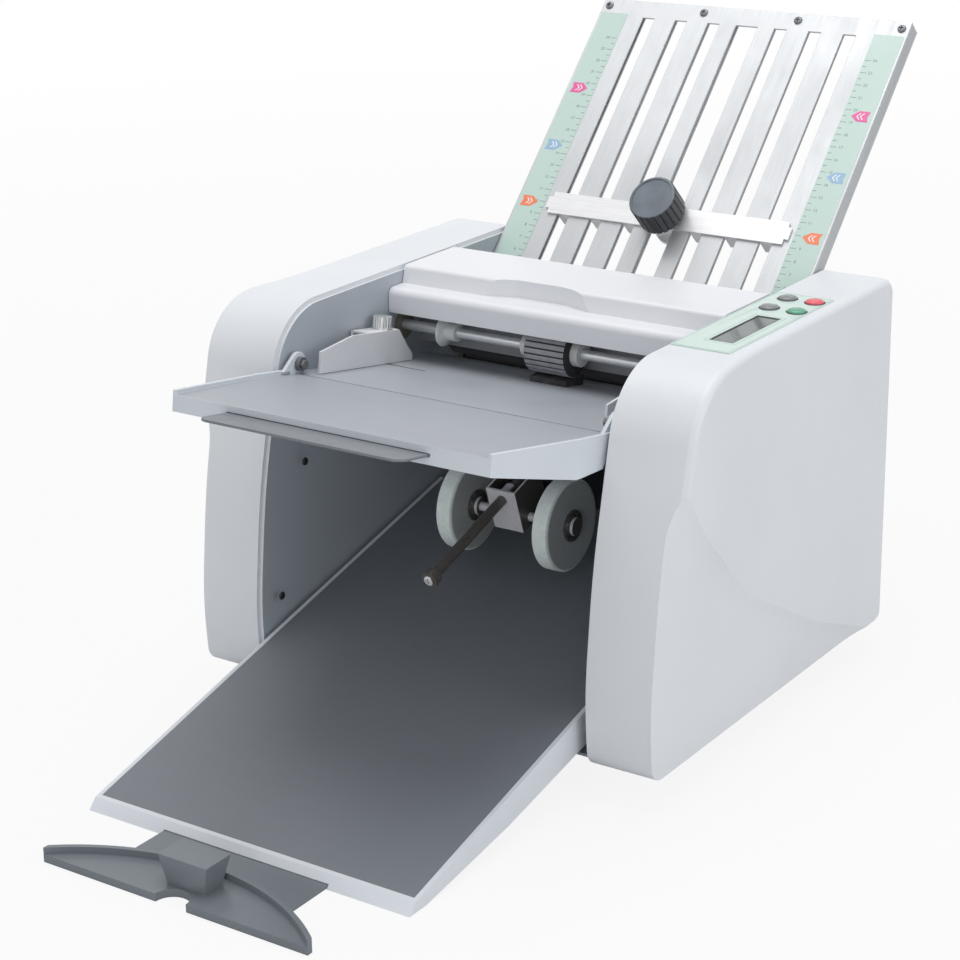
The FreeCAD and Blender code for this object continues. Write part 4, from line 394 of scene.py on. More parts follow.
def ground(name, colour, rough, metal=1.0, depth=0.008 * MM):
    """Round steel ground between centres: fine rings about X."""
    paint = Paint(name, metal, Anisotropic=0.4)
    rings = paint.noise(0.35 * MM, 3, paint.mapped(RING_STRETCH))
    cloud = paint.noise(12 * MM, 3)
    base = paint.tones(rings, colour, 0.86, 1.05)
    shine = paint.math("ADD", paint.spread(rings, rough - 0.02, rough + 0.03),
                       paint.spread(cloud, 0, 0.05))
    return paint.finish(base, shine, paint.relief(rings, depth, 0.5))


def rubber(name, colour, rough=0.78):
    """Matt rubber with a fine skin and a bloom of paper dust."""
    paint = Paint(name, Specular_IOR_Level=RUBBER_SPECULAR)
    dust = paint.spread(paint.noise(7 * MM, 6), 0, 0.16, 0.45, 0.8)
    base = paint.mixed(dust, colour, DUST_TINT)
    skin = rubber_skin(paint)
    return paint.finish(base, paint.spread(paint.noise(14 * MM), rough - 0.08, rough + 0.1), skin)


def film(name, colour, rough=0.34):
    """Print or lacquer: an even colour under a lightly grained clear face."""
    paint = Paint(name, Coat_Weight=0.25, Coat_Roughness=0.3)
    base = paint.tones(paint.noise(0.3 * MM, 2), colour, 0.975, 1.02)
    base = paint.mixed(paint.spread(paint.noise(55 * MM), 0, 0.2), base, scaled(colour, 0.93))
    face = paint.relief(paint.noise(0.7 * MM, 2), 0.006 * MM, 0.6)
    return paint.finish(base, paint.spread(paint.noise(20 * MM), rough - 0.05, rough + 0.06), face)


def glossy(name, colour, rough=0.24):
    """Polished plastic or glass with faint flow lines and fingerprints."""
    paint = Paint(name, Coat_Weight=0.3, Coat_Roughness=0.12)
    flow = paint.noise(9 * MM, 2, distort=0.6)
    base = paint.tones(flow, colour, 0.97, 1.03)
    prints = paint.spread(paint.noise(3 * MM, 4), rough, rough + 0.06, 0.45, 0.7)
    return paint.finish(base, prints, paint.relief(paint.noise(0.4 * MM), 0.003 * MM, 0.4))


def banded(name, centre, bands, edge=0.15 * MM):
    """Turned piece about X; each band is (radius, colour, roughness, metal) and starts there."""
    paint = Paint(name)
    reach = paint.radius_from(centre)
    first = bands[0]
    base, shine, metal = first[1], first[2], first[3]
    shine_socket, metal_socket = None, None
    for radius, colour, rough, metallic in bands[1:]:
        step = paint.spread(reach, 0, 1, radius - edge, radius + edge)
        base = paint.mixed(step, base, colour)
        shine_now = paint.spread(step, 0, rough - shine, 0, 1)
        metal_now = paint.spread(step, 0, metallic - metal, 0, 1)
        shine_socket = shine_now if shine_socket is None else paint.math("ADD", shine_socket, shine_now)
        metal_socket = metal_now if metal_socket is None else paint.math("ADD", metal_socket, metal_now)
        shine, metal = rough, metallic
    grain = paint.noise(3 * MM, 5)
    base = paint.mixed(paint.spread(grain, 0, 0.14), base, GRIME_TINT)
    shine_socket = paint.math("ADD", paint.math("ADD", shine_socket, first[2]),
                              paint.spread(grain, -0.04, 0.06))
    paint.link(paint.math("ADD", metal_socket, first[3]), paint.shader.inputs["Metallic"])
    skin = paint.relief(paint.noise(0.5 * MM, 3), 0.02 * MM, 0.6)
    return paint.finish(base, shine_socket, skin)


housing = moulded("housing_plastic", HOUSING_TINT)
lid_plastic = moulded("lid_plastic", tint(231, 232, 236), rough=0.36)
table_plastic = feed_table_paint("table_plastic", tint(212, 218, 224), tint(160, 165, 172))
extension_plastic = moulded("extension_plastic", tint(120, 124, 130), rough=0.45)
tray_plastic = moulded("tray_plastic", tint(222, 226, 232), rough=0.42)
tray_face = moulded("tray_face", tint(118, 123, 130), rough=0.5, grain=0.8 * MM, depth=0.03 * MM)
slider_plastic = moulded("slider_plastic", tint(116, 123, 129), rough=0.34, mottle=0.04)
knob_plastic = knob_paint()
white_plastic = moulded("white_plastic", tint(222, 224, 222), rough=0.38)
gear_plastic = moulded("gear_plastic", tint(232, 230, 218), rough=0.4)
black_plastic = moulded("black_plastic", tint(44, 44, 46), rough=0.42, mottle=0.1)
inner_paint = painted("inner_paint", FRAME_TINT, rough=0.34)
frame_paint = side_frame_paint()
table_paint = painted("table_paint", tint(164, 169, 176))
guide_dark = painted("guide_dark", tint(164, 165, 169))
motor_paint = painted("motor_paint", tint(70, 71, 75), metal=0.4)
arm_black = painted("arm_black", tint(92, 87, 83), rough=0.28)
plate_steel = brushed("plate_steel", tint(203, 205, 207), 0.38, PLATE_SLOPE, metal=0.4)
rail_steel = brushed("rail_steel", tint(196, 199, 201), 0.42, PLATE_SLOPE, metal=0.3)
bar_steel = brushed("bar_steel", tint(236, 236, 237), 0.34, PLATE_SLOPE, along="X", metal=0.4)
guide_steel = brushed("guide_steel", tint(232, 233, 237), 0.42, TABLE_SLOPE, along="X", metal=0.15)
bracket_steel = bracket_paint()
hidden_steel = brushed("hidden_steel", tint(190, 191, 194), 0.36)
shaft_steel = ground("shaft_steel", tint(214, 215, 217), 0.26, 0.6, 0.002 * MM)
feed_steel = feed_shaft_paint()
press_steel = ground("press_steel", tint(150, 147, 145), 0.24, 0.9, 0.002 * MM)
screw_steel = ground("screw_steel", tint(212, 213, 212), 0.3, 0.7, 0.003 * MM)
bolt_steel = ground("bolt_steel", tint(122, 124, 128), 0.4, 0.7, 0.003 * MM)
pulley_metal = ground("pulley_metal", tint(200, 201, 204), 0.3)
brass = ground("bush_brass", tint(138, 132, 118), 0.45, 0.4)
feed_rubber = ribbed_paint("feed_rubber", "feed_spin", "feed_roller", tint(58, 58, 61), tint(158, 158, 164))
pad_rubber = rubber("pad_rubber", tint(60, 60, 63))
belt_rubber = rubber("belt_rubber", tint(34, 34, 35))
foot_rubber = rubber("foot_rubber", tint(40, 40, 42))
mint_film = film("mint_film", tint(194, 216, 208))
panel_film = film("panel_film", tint(208, 226, 219))
board_green = film("board_lacquer", tint(30, 92, 56))
display_glass = glossy("display_glass", tint(84, 92, 92), 0.05)
cap_grey = glossy("cap_grey", tint(122, 126, 128))
cap_red = glossy("cap_red", tint(232, 84, 96))
cap_green = glossy("cap_green", tint(84, 160, 128))
ink_dark = film("ink_dark", tint(112, 134, 128), 0.4)
ink_pink = film("ink_pink", tint(232, 92, 160), 0.36)
ink_blue = film("ink_blue", tint(150, 184, 214), 0.36)
ink_orange = film("ink_orange", tint(246, 128, 84), 0.36)
ink_white = film("ink_white", tint(246, 248, 246), 0.36)
display_rim = film("display_rim", tint(70, 78, 76), 0.4)
panel_line = film("panel_line", tint(172, 198, 188), 0.36)

STEEL_SHAFT_RADIUS = 6 * MM
HUB_RADIUS, TYRE_RADIUS = 10.4 * MM, 28.6 * MM
ROLLER_BANDS = [(0, tint(196, 197, 199), 0.26, 1.0), (STEEL_SHAFT_RADIUS, tint(74, 74, 77), 0.62, 0.0)]


def fold_roller_paint(index):
    return banded("fold_roller_paint_%d" % index, joint_place("fold_roller_%d_spin" % index), ROLLER_BANDS)


def wheel_paint(hand):
    """Dark shiny hub, grey face and pale tyre of a press wheel."""
    return banded("press_wheel_paint_" + hand, joint_place(hand + "_wheel_spin"), [
        (0, tint(84, 81, 78), 0.26, 0.2),
        (HUB_RADIUS, tint(184, 188, 187), 0.5, 0.0),
        (TYRE_RADIUS, tint(240, 248, 245), 0.6, 0.0),
    ])


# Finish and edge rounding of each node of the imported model

SHARP_ANGLE = math.radians(38)
WELD_REACH = 0.002 * MM
EDGE_STEPS = 2


def soften(node, width):
    """Round the sharp edges of a node's shown mesh; its own vertices stay as they are."""
    weld = node.modifiers.new("weld", "WELD")
    weld.merge_threshold = WELD_REACH
    bevel = node.modifiers.new("edges", "BEVEL")
    bevel.width = width
    bevel.segments = EDGE_STEPS
    bevel.limit_method = "ANGLE"
    bevel.angle_limit = SHARP_ANGLE
    bevel.use_clamp_overlap = True
    bevel.miter_outer = "MITER_ARC"
    node.modifiers.new("shading", "WEIGHTED_NORMAL").keep_sharp = True


# Material, width of the edge rounding in millimetres, and the nodes that have them
FINISHES = [
    (housing, 0.5, "left_cover right_cover"), (housing, 0.6, "rear_cover"),
    (lid_plastic, 1.0, "top_cover"), (table_plastic, 0.8, "front_table"),
    (extension_plastic, 0.4, "table_extension"), (table_paint, 0.4, "inner_table"),
    (inner_paint, 0.4, "base_plate"), (frame_paint, 0.3, "left_side_frame right_side_frame"),
    (shaft_steel, 0, "tie_rods"), (foot_rubber, 1.0, "rubber_feet"),
    (panel_film, 0.2, "control_panel"), (display_glass, 0.3, "display_window"),
    (board_green, 0, "control_board"), (black_plastic, 0.4, "power_inlet rocker_switch"),
    (motor_paint, 0.8, "motor"), (pulley_metal, 0, "motor_pulley"),
    (belt_rubber, 0, "drive_belt feed_belt"), (brass, 0, "roller_bushes"),
    (guide_dark, 0.3, "feed_guide"), (pad_rubber, 0.8, "separator_pad"),
    (feed_steel, 0.4, "feed_shaft"), (feed_rubber, 0.15, "feed_roller"),
    (white_plastic, 0.4, "feed_collars"), (press_steel, 0.3, "press_shaft"),
    (arm_black, 0.4, "press_arm"), (bracket_steel, 0.25, "wheel_bracket"),
    (guide_steel, 0.2, "left_guide right_guide"),
    (screw_steel, 0.15, "left_guide_screw right_guide_screw"),
    (bolt_steel, 0.2, "table_pivot_bolts"),
    (plate_steel, 0.2, "upper_plate_front upper_plate_back"), (rail_steel, 0.6, "plate_side_rails"),
    (bar_steel, 0.2, "upper_stop_bar"), (knob_plastic, 0.15, "upper_stop_knob"),
    (hidden_steel, 0.2, "lower_fold_plate"), (hidden_steel, 0.3, "lower_stop"),
    (tray_plastic, 0.8, "delivery_tray"), (tray_face, 0.3, "tray_surface"),
    (slider_plastic, 0.4, "tray_extension"), (slider_plastic, 0.6, "stack_stop"),
    (cap_green, 0, "start_button"), (cap_red, 0, "stop_button"),
    (cap_grey, 0, "plus_button minus_button"),
]
for hand in ("left", "right"):
    FINISHES.append((wheel_paint(hand), 0, hand + "_press_wheel"))
for index in range(1, 5):
    FINISHES.append((fold_roller_paint(index), 0.3, "fold_roller_%d" % index))
    FINISHES.append((gear_plastic, 0, "roller_gear_%d" % index))

for material, width, names in FINISHES:
    for name in names.split():
        node = nodes[name]
        node.data.materials.clear()
        node.data.materials.append(material)
        if width:
            soften(node, width * MM)


# Mesh pieces

def add_box(mesh, low, high):
    """Box between two corners."""
    made = bmesh.ops.create_cube(mesh, size=1.0)
    low, high = Vector(low), Vector(high)
    for corner in made["verts"]:
        corner.co = Vector([
            low[axis] if corner.co[axis] < 0 else high[axis] for axis in range(3)])


def add_prism(mesh, points, low, high):
    """Upright prism on an outline of (x, y) points, given anticlockwise."""
    bottom = [mesh.verts.new((x, y, low)) for x, y in points]
    top = [mesh.verts.new((x, y, high)) for x, y in points]
    mesh.faces.new(list(reversed(bottom)))
    mesh.faces.new(top)
    for step in range(len(points)):
        after = (step + 1) % len(points)
        mesh.faces.new((bottom[step], bottom[after], top[after], top[step]))


def add_turned(mesh, profile, steps=40):
    """Solid of revolution about Z from (radius, height) points, from the axis back to the axis."""
    rings = []
    for radius, height in profile:
        if radius == 0:
            rings.append([mesh.verts.new((0, 0, height))])
            continue
        rings.append([
            mesh.verts.new((radius * math.cos(2 * math.pi * step / steps),
                            radius * math.sin(2 * math.pi * step / steps), height))
            for step in range(steps)])
    for lower, upper in zip(rings, rings[1:]):
        for step in range(steps):
            after = (step + 1) % steps
            if len(lower) == 1:
                mesh.faces.new((lower[0], upper[after], upper[step]))
            elif len(upper) == 1:
                mesh.faces.new((lower[step], lower[after], upper[0]))
            else:
                mesh.faces.new((lower[step], lower[after], upper[after], upper[step]))


def rounded_outline(low, high, radius, steps=5):
    """Outline of a rectangle with round corners."""
    points = []
    for corner, (x, y, sx, sy) in enumerate((
            (high[0], high[1], -1, -1), (low[0], high[1], 1, -1),
            (low[0], low[1], 1, 1), (high[0], low[1], -1, 1))):
        for step in range(steps + 1):
            angle = (corner + step / steps) * math.pi / 2
            points.append((x + sx * radius + radius * math.cos(angle),
                           y + sy * radius + radius * math.sin(angle)))
    return points


def closed_mesh(name, solid):
    """Mesh with outward faces from a bmesh, which is freed."""
    bmesh.ops.recalc_face_normals(solid, faces=solid.faces)
    data = bpy.data.meshes.new(name)
    solid.to_mesh(data)
    solid.free()
    return data


def piece(name, mesh, material, body, where=None, bevel=0.0):
    """Object made from a bmesh, placed in the frame, that rides on a body."""
    data = closed_mesh(name, mesh)
    data.transform(where or Matrix.Identity(4))
    made = bpy.data.objects.new(name, data)
    put(made)
    data.materials.append(material)
    data.shade_smooth()
    if bevel:
        edges = made.modifiers.new("edges", "BEVEL")
        edges.width = bevel
        edges.segments = EDGE_STEPS
        edges.limit_method = "ANGLE"
    made.modifiers.new("shading", "WEIGHTED_NORMAL")
    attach(made, body)
    return made


# Pan head screw: outline, and cross recess, as shares of its radius and height
HEAD_PROFILE = ((0, -1), (0.5, -1), (0.5, 0), (1, 0), (1, 0.35), (0.93, 0.68), (0.78, 0.88), (0.5, 0.98),
                (0, 1))
HEAD_STEPS = 32
RECESS_ARM, RECESS_HALF = 0.56, 0.13
RECESS_FLOOR, RECESS_TOP = 0.3, 2
HEAD_EDGE = 0.08


def screw_head(radius, height):
    """Mesh of a pan head screw with a cross recess, on the plane z = 0."""
    solid = bmesh.new()
    add_turned(solid, [(radius * out, height * up) for out, up in HEAD_PROFILE], HEAD_STEPS)
    data = closed_mesh("screw_template", solid)
    cross = bmesh.new()
    arm, half = radius * RECESS_ARM, radius * RECESS_HALF
    add_prism(cross, [
        (half, half), (half, arm), (-half, arm), (-half, half), (-arm, half), (-arm, -half),
        (-half, -half), (-half, -arm), (half, -arm), (half, -half), (arm, -half), (arm, half)],
        height * RECESS_FLOOR, height * RECESS_TOP)
    tool_data = closed_mesh("recess_template", cross)
    head, tool = (bpy.data.objects.new("template", each) for each in (data, tool_data))
    for each in (head, tool):
        put(each)
    boolean = head.modifiers.new("recess", "BOOLEAN")
    boolean.object = tool
    boolean.operation = "DIFFERENCE"
    boolean.solver = "EXACT"
    graph = bpy.context.evaluated_depsgraph_get()
    made = bpy.data.meshes.new_from_object(head.evaluated_get(graph))
    for each in (head, tool):
        bpy.data.objects.remove(each)
    return made


def screws(name, size, places, body, material=screw_steel):
    """One piece of screws of (radius, height) in mm; Z of each place points out of the surface."""
    template = screw_head(*(part * MM for part in size))
    mesh = bmesh.new()
    for place in places:
        before = len(mesh.verts)
        mesh.from_mesh(template)
        mesh.verts.ensure_lookup_table()
        bmesh.ops.transform(mesh, matrix=place, verts=mesh.verts[before:])
    piece(name, mesh, material, body, bevel=HEAD_EDGE * MM)


# Scale strips of the upper fold plate

STRIP_INNER, STRIP_OUTER = 97.5, 119.6
STRIP_TOP, STRIP_BOTTOM = -12, -262
STRIP_THICKNESS, STRIP_GAP = 0.2, 0.02
STRIP_ROUND, STRIP_EDGE = 0.6, 0.05
INK_THICKNESS = 0.06
TICK_PITCH = 10
TICK_ZERO = -273.5
FIRST_TICK, LAST_TICK = 2, 24
TICK_LONG, TICK_SHORT, TICK_WIDE, TICK_INSET = 4.6, 2.6, 0.35, 0.5
NUMBER_SIZE, NUMBER_GAP, NUMBER_STEPS = 3.2, 3.4, 3
HANDS = {-1: "left", 1: "right"}
FOLD_MARKS = (("pink", -78, ink_pink), ("blue", -127, ink_blue), ("orange", -174.5, ink_orange))


def number_mesh(text):
    """Flat mesh of a plain number, centred on the origin, about one ink layer thick."""
    curve = bpy.data.curves.new("number", "FONT")
    curve.body = text
    curve.size = NUMBER_SIZE * MM
    curve.align_x, curve.align_y = "CENTER", "CENTER"
    curve.extrude = INK_THICKNESS * MM / 2
    curve.resolution_u = NUMBER_STEPS
    holder = bpy.data.objects.new("number", curve)
    put(holder)
    graph = bpy.context.evaluated_depsgraph_get()
    data = bpy.data.meshes.new_from_object(holder.evaluated_get(graph))
    bpy.data.objects.remove(holder)
    return data


def printed(name, mesh, ink, bevel=0.0):
    piece(name, mesh, ink, "upper_plate", PLATE_FRAME, bevel)


def scale_strip(side, hand):
    """Mint strip beside the slots with its ticks, numbers and fold marks."""
    near_edge, far_edge = sorted((side * STRIP_INNER * MM, side * STRIP_OUTER * MM))
    strip = bmesh.new()
    add_prism(strip, rounded_outline((near_edge, STRIP_BOTTOM * MM), (far_edge, STRIP_TOP * MM),
                                     STRIP_ROUND * MM), STRIP_GAP * MM, STRIP_THICKNESS * MM)
    printed("scale_strip_" + hand, strip, mint_film, STRIP_EDGE * MM)
    ticks, numbers = bmesh.new(), bmesh.new()
    base, top = STRIP_THICKNESS * MM, (STRIP_THICKNESS + INK_THICKNESS) * MM
    for count in range(2 * FIRST_TICK, 2 * LAST_TICK + 1):
        along = TICK_ZERO + count * TICK_PITCH / 2
        whole = count % 2 == 0
        length = TICK_LONG if whole else TICK_SHORT
        near = STRIP_INNER + TICK_INSET
        ends = sorted((side * near * MM, side * (near + length) * MM))
        add_box(ticks, (ends[0], (along - TICK_WIDE / 2) * MM, base),
                (ends[1], (along + TICK_WIDE / 2) * MM, top))
        if whole:
            before = len(numbers.verts)
            numbers.from_mesh(number_mesh(str(count // 2)))
            numbers.verts.ensure_lookup_table()
            bmesh.ops.translate(numbers, verts=numbers.verts[before:], vec=(
                side * (STRIP_INNER + TICK_LONG + NUMBER_GAP) * MM, along * MM,
                base + INK_THICKNESS * MM / 2))
    printed("scale_ticks_" + hand, ticks, ink_dark)
    printed("scale_numbers_" + hand, numbers, ink_dark)
    for colour, along, ink in FOLD_MARKS:
        fold_mark("fold_mark_%s_%s" % (colour, hand), side, along, ink)


MARK_OUTER, MARK_SHOULDER, MARK_TIP = 117.2, 109.0, 104.0
MARK_HALF, MARK_NOTCH, MARK_RISE = 4.2, 1.2, 1.5
CHEVRON_STARTS = (113.6, 111.0)
CHEVRON_HALF, CHEVRON_LEAN, CHEVRON_WIDE = 2.6, 2.2, 0.9


def fold_mark(name, side, along, ink):
    """Printed arrow that points at the bars, with two plain chevrons on it."""
    base, top = STRIP_THICKNESS * MM, (STRIP_THICKNESS + INK_THICKNESS * MARK_RISE) * MM

    def outline(points):
        shape = [(side * x * MM, (along + y) * MM) for x, y in points]
        return shape if side < 0 else list(reversed(shape))

    arrow = bmesh.new()
    add_prism(arrow, outline([
        (MARK_OUTER, MARK_HALF), (MARK_OUTER - MARK_NOTCH, 0), (MARK_OUTER, -MARK_HALF),
        (MARK_SHOULDER, -MARK_HALF), (MARK_TIP, 0), (MARK_SHOULDER, MARK_HALF)]), base, top)
    printed(name, arrow, ink)
    chevron = bmesh.new()
    for start in CHEVRON_STARTS:
        end = start - CHEVRON_WIDE
        add_prism(chevron, outline([
            (start, CHEVRON_HALF), (start - CHEVRON_LEAN, 0), (start, -CHEVRON_HALF),
            (end, -CHEVRON_HALF), (end - CHEVRON_LEAN, 0), (end, CHEVRON_HALF)]),
            top, top + INK_THICKNESS * MM)
    printed(name + "_chevron", chevron, ink_white)


for side, hand in HANDS.items():
    scale_strip(side, hand)

PLATE_SCREWS, PLATE_SCREW_ROW = (-115.5, -37.3, 37.3, 115.5), -6
SCREW = (3.0, 1.5)
screws("plate_screws", SCREW, [
    PLATE_FRAME @ Matrix.Translation((x * MM, PLATE_SCREW_ROW * MM, 0)) for x in PLATE_SCREWS],
       "upper_plate", bolt_steel)


# Rear sheet and rails of the upper fold plate, open behind the whole of each slot

PLATE_HALF, PLATE_LENGTH, PLATE_DEPTH = 121.2, 272, 12
SHEET_EDGE, RAIL_EDGE = 0.2, 0.5
RAIL_WIDTH = 4
CLOSING_BAR = 6
SLOT_PITCH = 26.5
REAR_SLOT_TOP, REAR_SLOT_BOTTOM = -5.4, -250
REAR_SLOT_HALF, REAR_CENTRE_HALF = 10.1, 13.3


def add_slotted_sheet(mesh, slots, low, high):
    """Sheet of the fold plate between two levels; each slot is (left, right, bottom, top)."""
    across = sorted({-PLATE_HALF, PLATE_HALF} | {edge for slot in slots for edge in slot[:2]})
    along = sorted({-PLATE_LENGTH, 0} | {edge for slot in slots for edge in slot[2:]})
    layers = ({}, {})
    rim = set()

    def corner(layer, x, y):
        if (x, y) not in layers[layer]:
            layers[layer][x, y] = mesh.verts.new((x * MM, y * MM, (low, high)[layer] * MM))
        return layers[layer][x, y]

    for left, right in zip(across, across[1:]):
        for front, rear in zip(along, along[1:]):
            x, y = (left + right) / 2, (front + rear) / 2
            if any(slot[0] < x < slot[1] and slot[2] < y < slot[3] for slot in slots):
                continue
            loop = [(left, front), (right, front), (right, rear), (left, rear)]
            mesh.faces.new([corner(1, *point) for point in loop])
            mesh.faces.new([corner(0, *point) for point in reversed(loop)])
            for start, end in zip(loop, loop[1:] + loop[:1]):
                if (end, start) in rim:
                    rim.remove((end, start))
                else:
                    rim.add((start, end))
    for start, end in sorted(rim):
        mesh.faces.new((corner(0, *start), corner(0, *end), corner(1, *end), corner(1, *start)))


def plate_back():
    """Rear sheet and rails in place of the model's plain ones."""
    slots = []
    for step in range(-3, 4):
        half = REAR_SLOT_HALF if step else REAR_CENTRE_HALF
        slots.append((step * SLOT_PITCH - half, step * SLOT_PITCH + half, REAR_SLOT_BOTTOM, REAR_SLOT_TOP))
    sheet = bmesh.new()
    add_slotted_sheet(sheet, slots, -PLATE_DEPTH, SHEET - PLATE_DEPTH)
    made = piece("upper_plate_rear_sheet", sheet, plate_steel, "upper_plate", PLATE_FRAME,
                 SHEET_EDGE * MM)
    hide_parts("upper_plate_back")
    rails = bmesh.new()
    low, high = (SHEET - PLATE_DEPTH) * MM, -SHEET * MM
    inner = PLATE_HALF - RAIL_WIDTH
    for left in (-PLATE_HALF, inner):
        add_box(rails, (left * MM, -PLATE_LENGTH * MM, low), ((left + RAIL_WIDTH) * MM, 0, high))
    add_box(rails, (-inner * MM, -CLOSING_BAR * MM, low), (inner * MM, 0, high))
    made = piece("upper_plate_rails", rails, rail_steel, "upper_plate", PLATE_FRAME,
                 RAIL_EDGE * MM)
    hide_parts("plate_side_rails")


plate_back()


# Small hardware: screws, hinge lugs, hex heads, sleeve and disc of the feed shaft, louvres

def axes_at(place, *rows):
    """Frame at a place, from the rows of its rotation."""
    return Matrix.Translation(Vector(place)) @ Matrix(rows).to_4x4()


def facing_across(place, side):
    """Frame at a place whose Z points across the machine to one side and whose X points back."""
    return axes_at(place, (0, 0, side), (1, 0, 0), (0, side, 0))


FRAME_SCREWS = ((-55.9, 155.3), (-85.4, 72.7))
FRAME_SCREW = (2.7, 1.2)


def frame_screws():
    """Dark screws in the inner faces of the side frames."""
    for side, hand in HANDS.items():
        low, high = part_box(hand + "_side_frame")
        face = high.x if side < 0 else low.x
        places = [facing_across((face, y * MM, z * MM), -side) for y, z in FRAME_SCREWS]
        screws("frame_screws_" + hand, FRAME_SCREW, places, "housing", black_plastic)


LUG_INNER, LUG_OUTER = 115.9, 118.7
LUG_RADIUS = 7.4
LUG_BASE = -4.6
LUG_FRONT, LUG_REAR = -15.0, 8.5
LUG_START, LUG_SWEEP = 10, 125
HEX_RADIUS, HEX_HEIGHT, HEX_ROOT = 3.3, 2.2, 0.5
LUG_EDGE, HEX_EDGE = 0.5, 0.4
BOLT_FACE = 112.5


def lug_outline(steps=10):
    """Triangular lug with a round top about the hinge, as (y, z) points."""
    points = [(LUG_REAR, LUG_BASE)]
    for step in range(steps + 1):
        angle = math.radians(LUG_START + LUG_SWEEP * step / steps)
        points.append((LUG_RADIUS * math.cos(angle), LUG_RADIUS * math.sin(angle)))
    points.append((LUG_FRONT, LUG_BASE))
    return [(y * MM, z * MM) for y, z in points]


def hinge_hardware():
    """Lugs of the feed table, and the hex heads that they turn on."""
    for side, hand in HANDS.items():
        lug = bmesh.new()
        add_prism(lug, lug_outline(), LUG_INNER * MM, LUG_OUTER * MM)
        across = Matrix(((0, 0, side), (1, 0, 0), (0, 1, 0))).to_4x4()
        piece("hinge_lug_" + hand, lug, table_plastic, "feed_table",
              TABLE_FRAME @ across, LUG_EDGE * MM)
        head = bmesh.new()
        add_prism(head, [(HEX_RADIUS * MM * math.cos(math.radians(60 * corner)),
                          HEX_RADIUS * MM * math.sin(math.radians(60 * corner))) for corner in range(6)],
                  -HEX_ROOT * MM, HEX_HEIGHT * MM)
        place = TABLE_FRAME @ facing_across((side * BOLT_FACE * MM, 0, 0), -side)
        piece("hinge_hex_" + hand, head, bolt_steel, "housing", place,
              HEX_EDGE * MM)


ROD_SCREW = (3.4, 1.2)


def rod_end_screw():
    """Bright screw in the end cap of the press rod."""
    to_local = PRESS_FRAME.inverted()
    end = min((to_local @ corner.co).y for corner in nodes["press_arm"].data.vertices)
    place = PRESS_FRAME @ axes_at((0, end, 0), (1, 0, 0), (0, 0, -1), (0, 1, 0))
    screws("rod_end_screw", ROD_SCREW, [place], "arm", bracket_steel)


SLEEVE_RADIUS, SLEEVE_BORE = 7.3, 3.4
SLEEVE_START, SLEEVE_LENGTH = 15.0, 9.0
SLEEVE_ROUND = 0.6


def feed_sleeve():
    """White sleeve on the feed shaft, against the left end of the ribbed roller."""
    mesh = bmesh.new()
    bore, radius, edge = SLEEVE_BORE * MM, SLEEVE_RADIUS * MM, SLEEVE_ROUND * MM
    length = SLEEVE_LENGTH * MM
    add_turned(mesh, [(0, 0), (radius, 0), (radius, length - edge), (radius - edge, length),
                      (bore + edge, length), (bore, length - edge), (0, length - edge)])
    where = facing_across(joint_place("feed_spin") + Vector((-SLEEVE_START * MM, 0, 0)), -1)
    piece("feed_sleeve", mesh, white_plastic, "feed", where)


DISC_RADIUS, DISC_THICKNESS, DISC_STEPS = 13.4, 2.0, 64
DISC_HUB, DISC_HUB_RISE = 6.6, 0.8


def feed_disc():
    """Wide flange of the left collar on the feed shaft."""
    mesh = bmesh.new()
    edge = SLEEVE_ROUND * MM
    radius, thickness, hub = DISC_RADIUS * MM, DISC_THICKNESS * MM, DISC_HUB * MM
    top = thickness + DISC_HUB_RISE * MM
    add_turned(mesh, [(0, 0), (radius - edge, 0), (radius, edge), (radius, thickness - edge),
                      (radius - edge, thickness), (hub, top), (0, top)], DISC_STEPS)
    place = joint_place("feed_spin")
    place.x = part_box("feed_collars")[0].x
    piece("feed_disc", mesh, white_plastic, "feed", facing_across(place, 1))


REAR_SCREW_INSET = 9.0
LOUVRE_PLACES, LOUVRE_HALF_LENGTH, LOUVRE_EDGE = 9, 34.0, 0.4
LOUVRE_PITCH, LOUVRE_RISE, LOUVRE_DEPTH = 7.0, 3.6, 1.8
LOUVRE_CENTRE, LOUVRE_TOP = -45.0, 0.62


def rear_details():
    """Screws round the rear cover and the louvres over the motor."""
    low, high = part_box("rear_cover")
    inset = REAR_SCREW_INSET * MM
    middle = (low.z + high.z) / 2
    screws("rear_cover_screws", SCREW, [
        axes_at((x, high.y, z), (-1, 0, 0), (0, 0, 1), (0, 1, 0))
        for x in (low.x + inset, high.x - inset) for z in (low.z + inset, middle, high.z - inset)],
        "housing")
    louvres = bmesh.new()
    start = low.z + (high.z - low.z) * LOUVRE_TOP
    for place in range(LOUVRE_PLACES):
        level = start - place * LOUVRE_PITCH * MM
        add_prism(louvres, [(0, level), (LOUVRE_DEPTH * MM, level), (0, level + LOUVRE_RISE * MM)],
                  -LOUVRE_HALF_LENGTH * MM, LOUVRE_HALF_LENGTH * MM)
    where = axes_at((LOUVRE_CENTRE * MM, high.y, 0), (0, 0, 1), (1, 0, 0), (0, 1, 0))
    piece("rear_louvres", louvres, housing, "housing", where, LOUVRE_EDGE * MM)


frame_screws()
rear_details()
hinge_hardware()
rod_end_screw()
feed_sleeve()
feed_disc()


# Push buttons: low domes, given as shares of radius and rise, with a thin dark collar

CAP_PROFILE = ((1.0, 0.12), (0.96, 0.45), (0.88, 0.68), (0.75, 0.83), (0.55, 0.93), (0.3, 0.985), (0.0, 1.0))
CAP_RADIUS, CAP_RISE, CAP_STEPS = 6.0, 2.1, 48
COLLAR_RADIUS, COLLAR_RISE, COLLAR_SHOULDER = 6.7, 0.35, 0.6


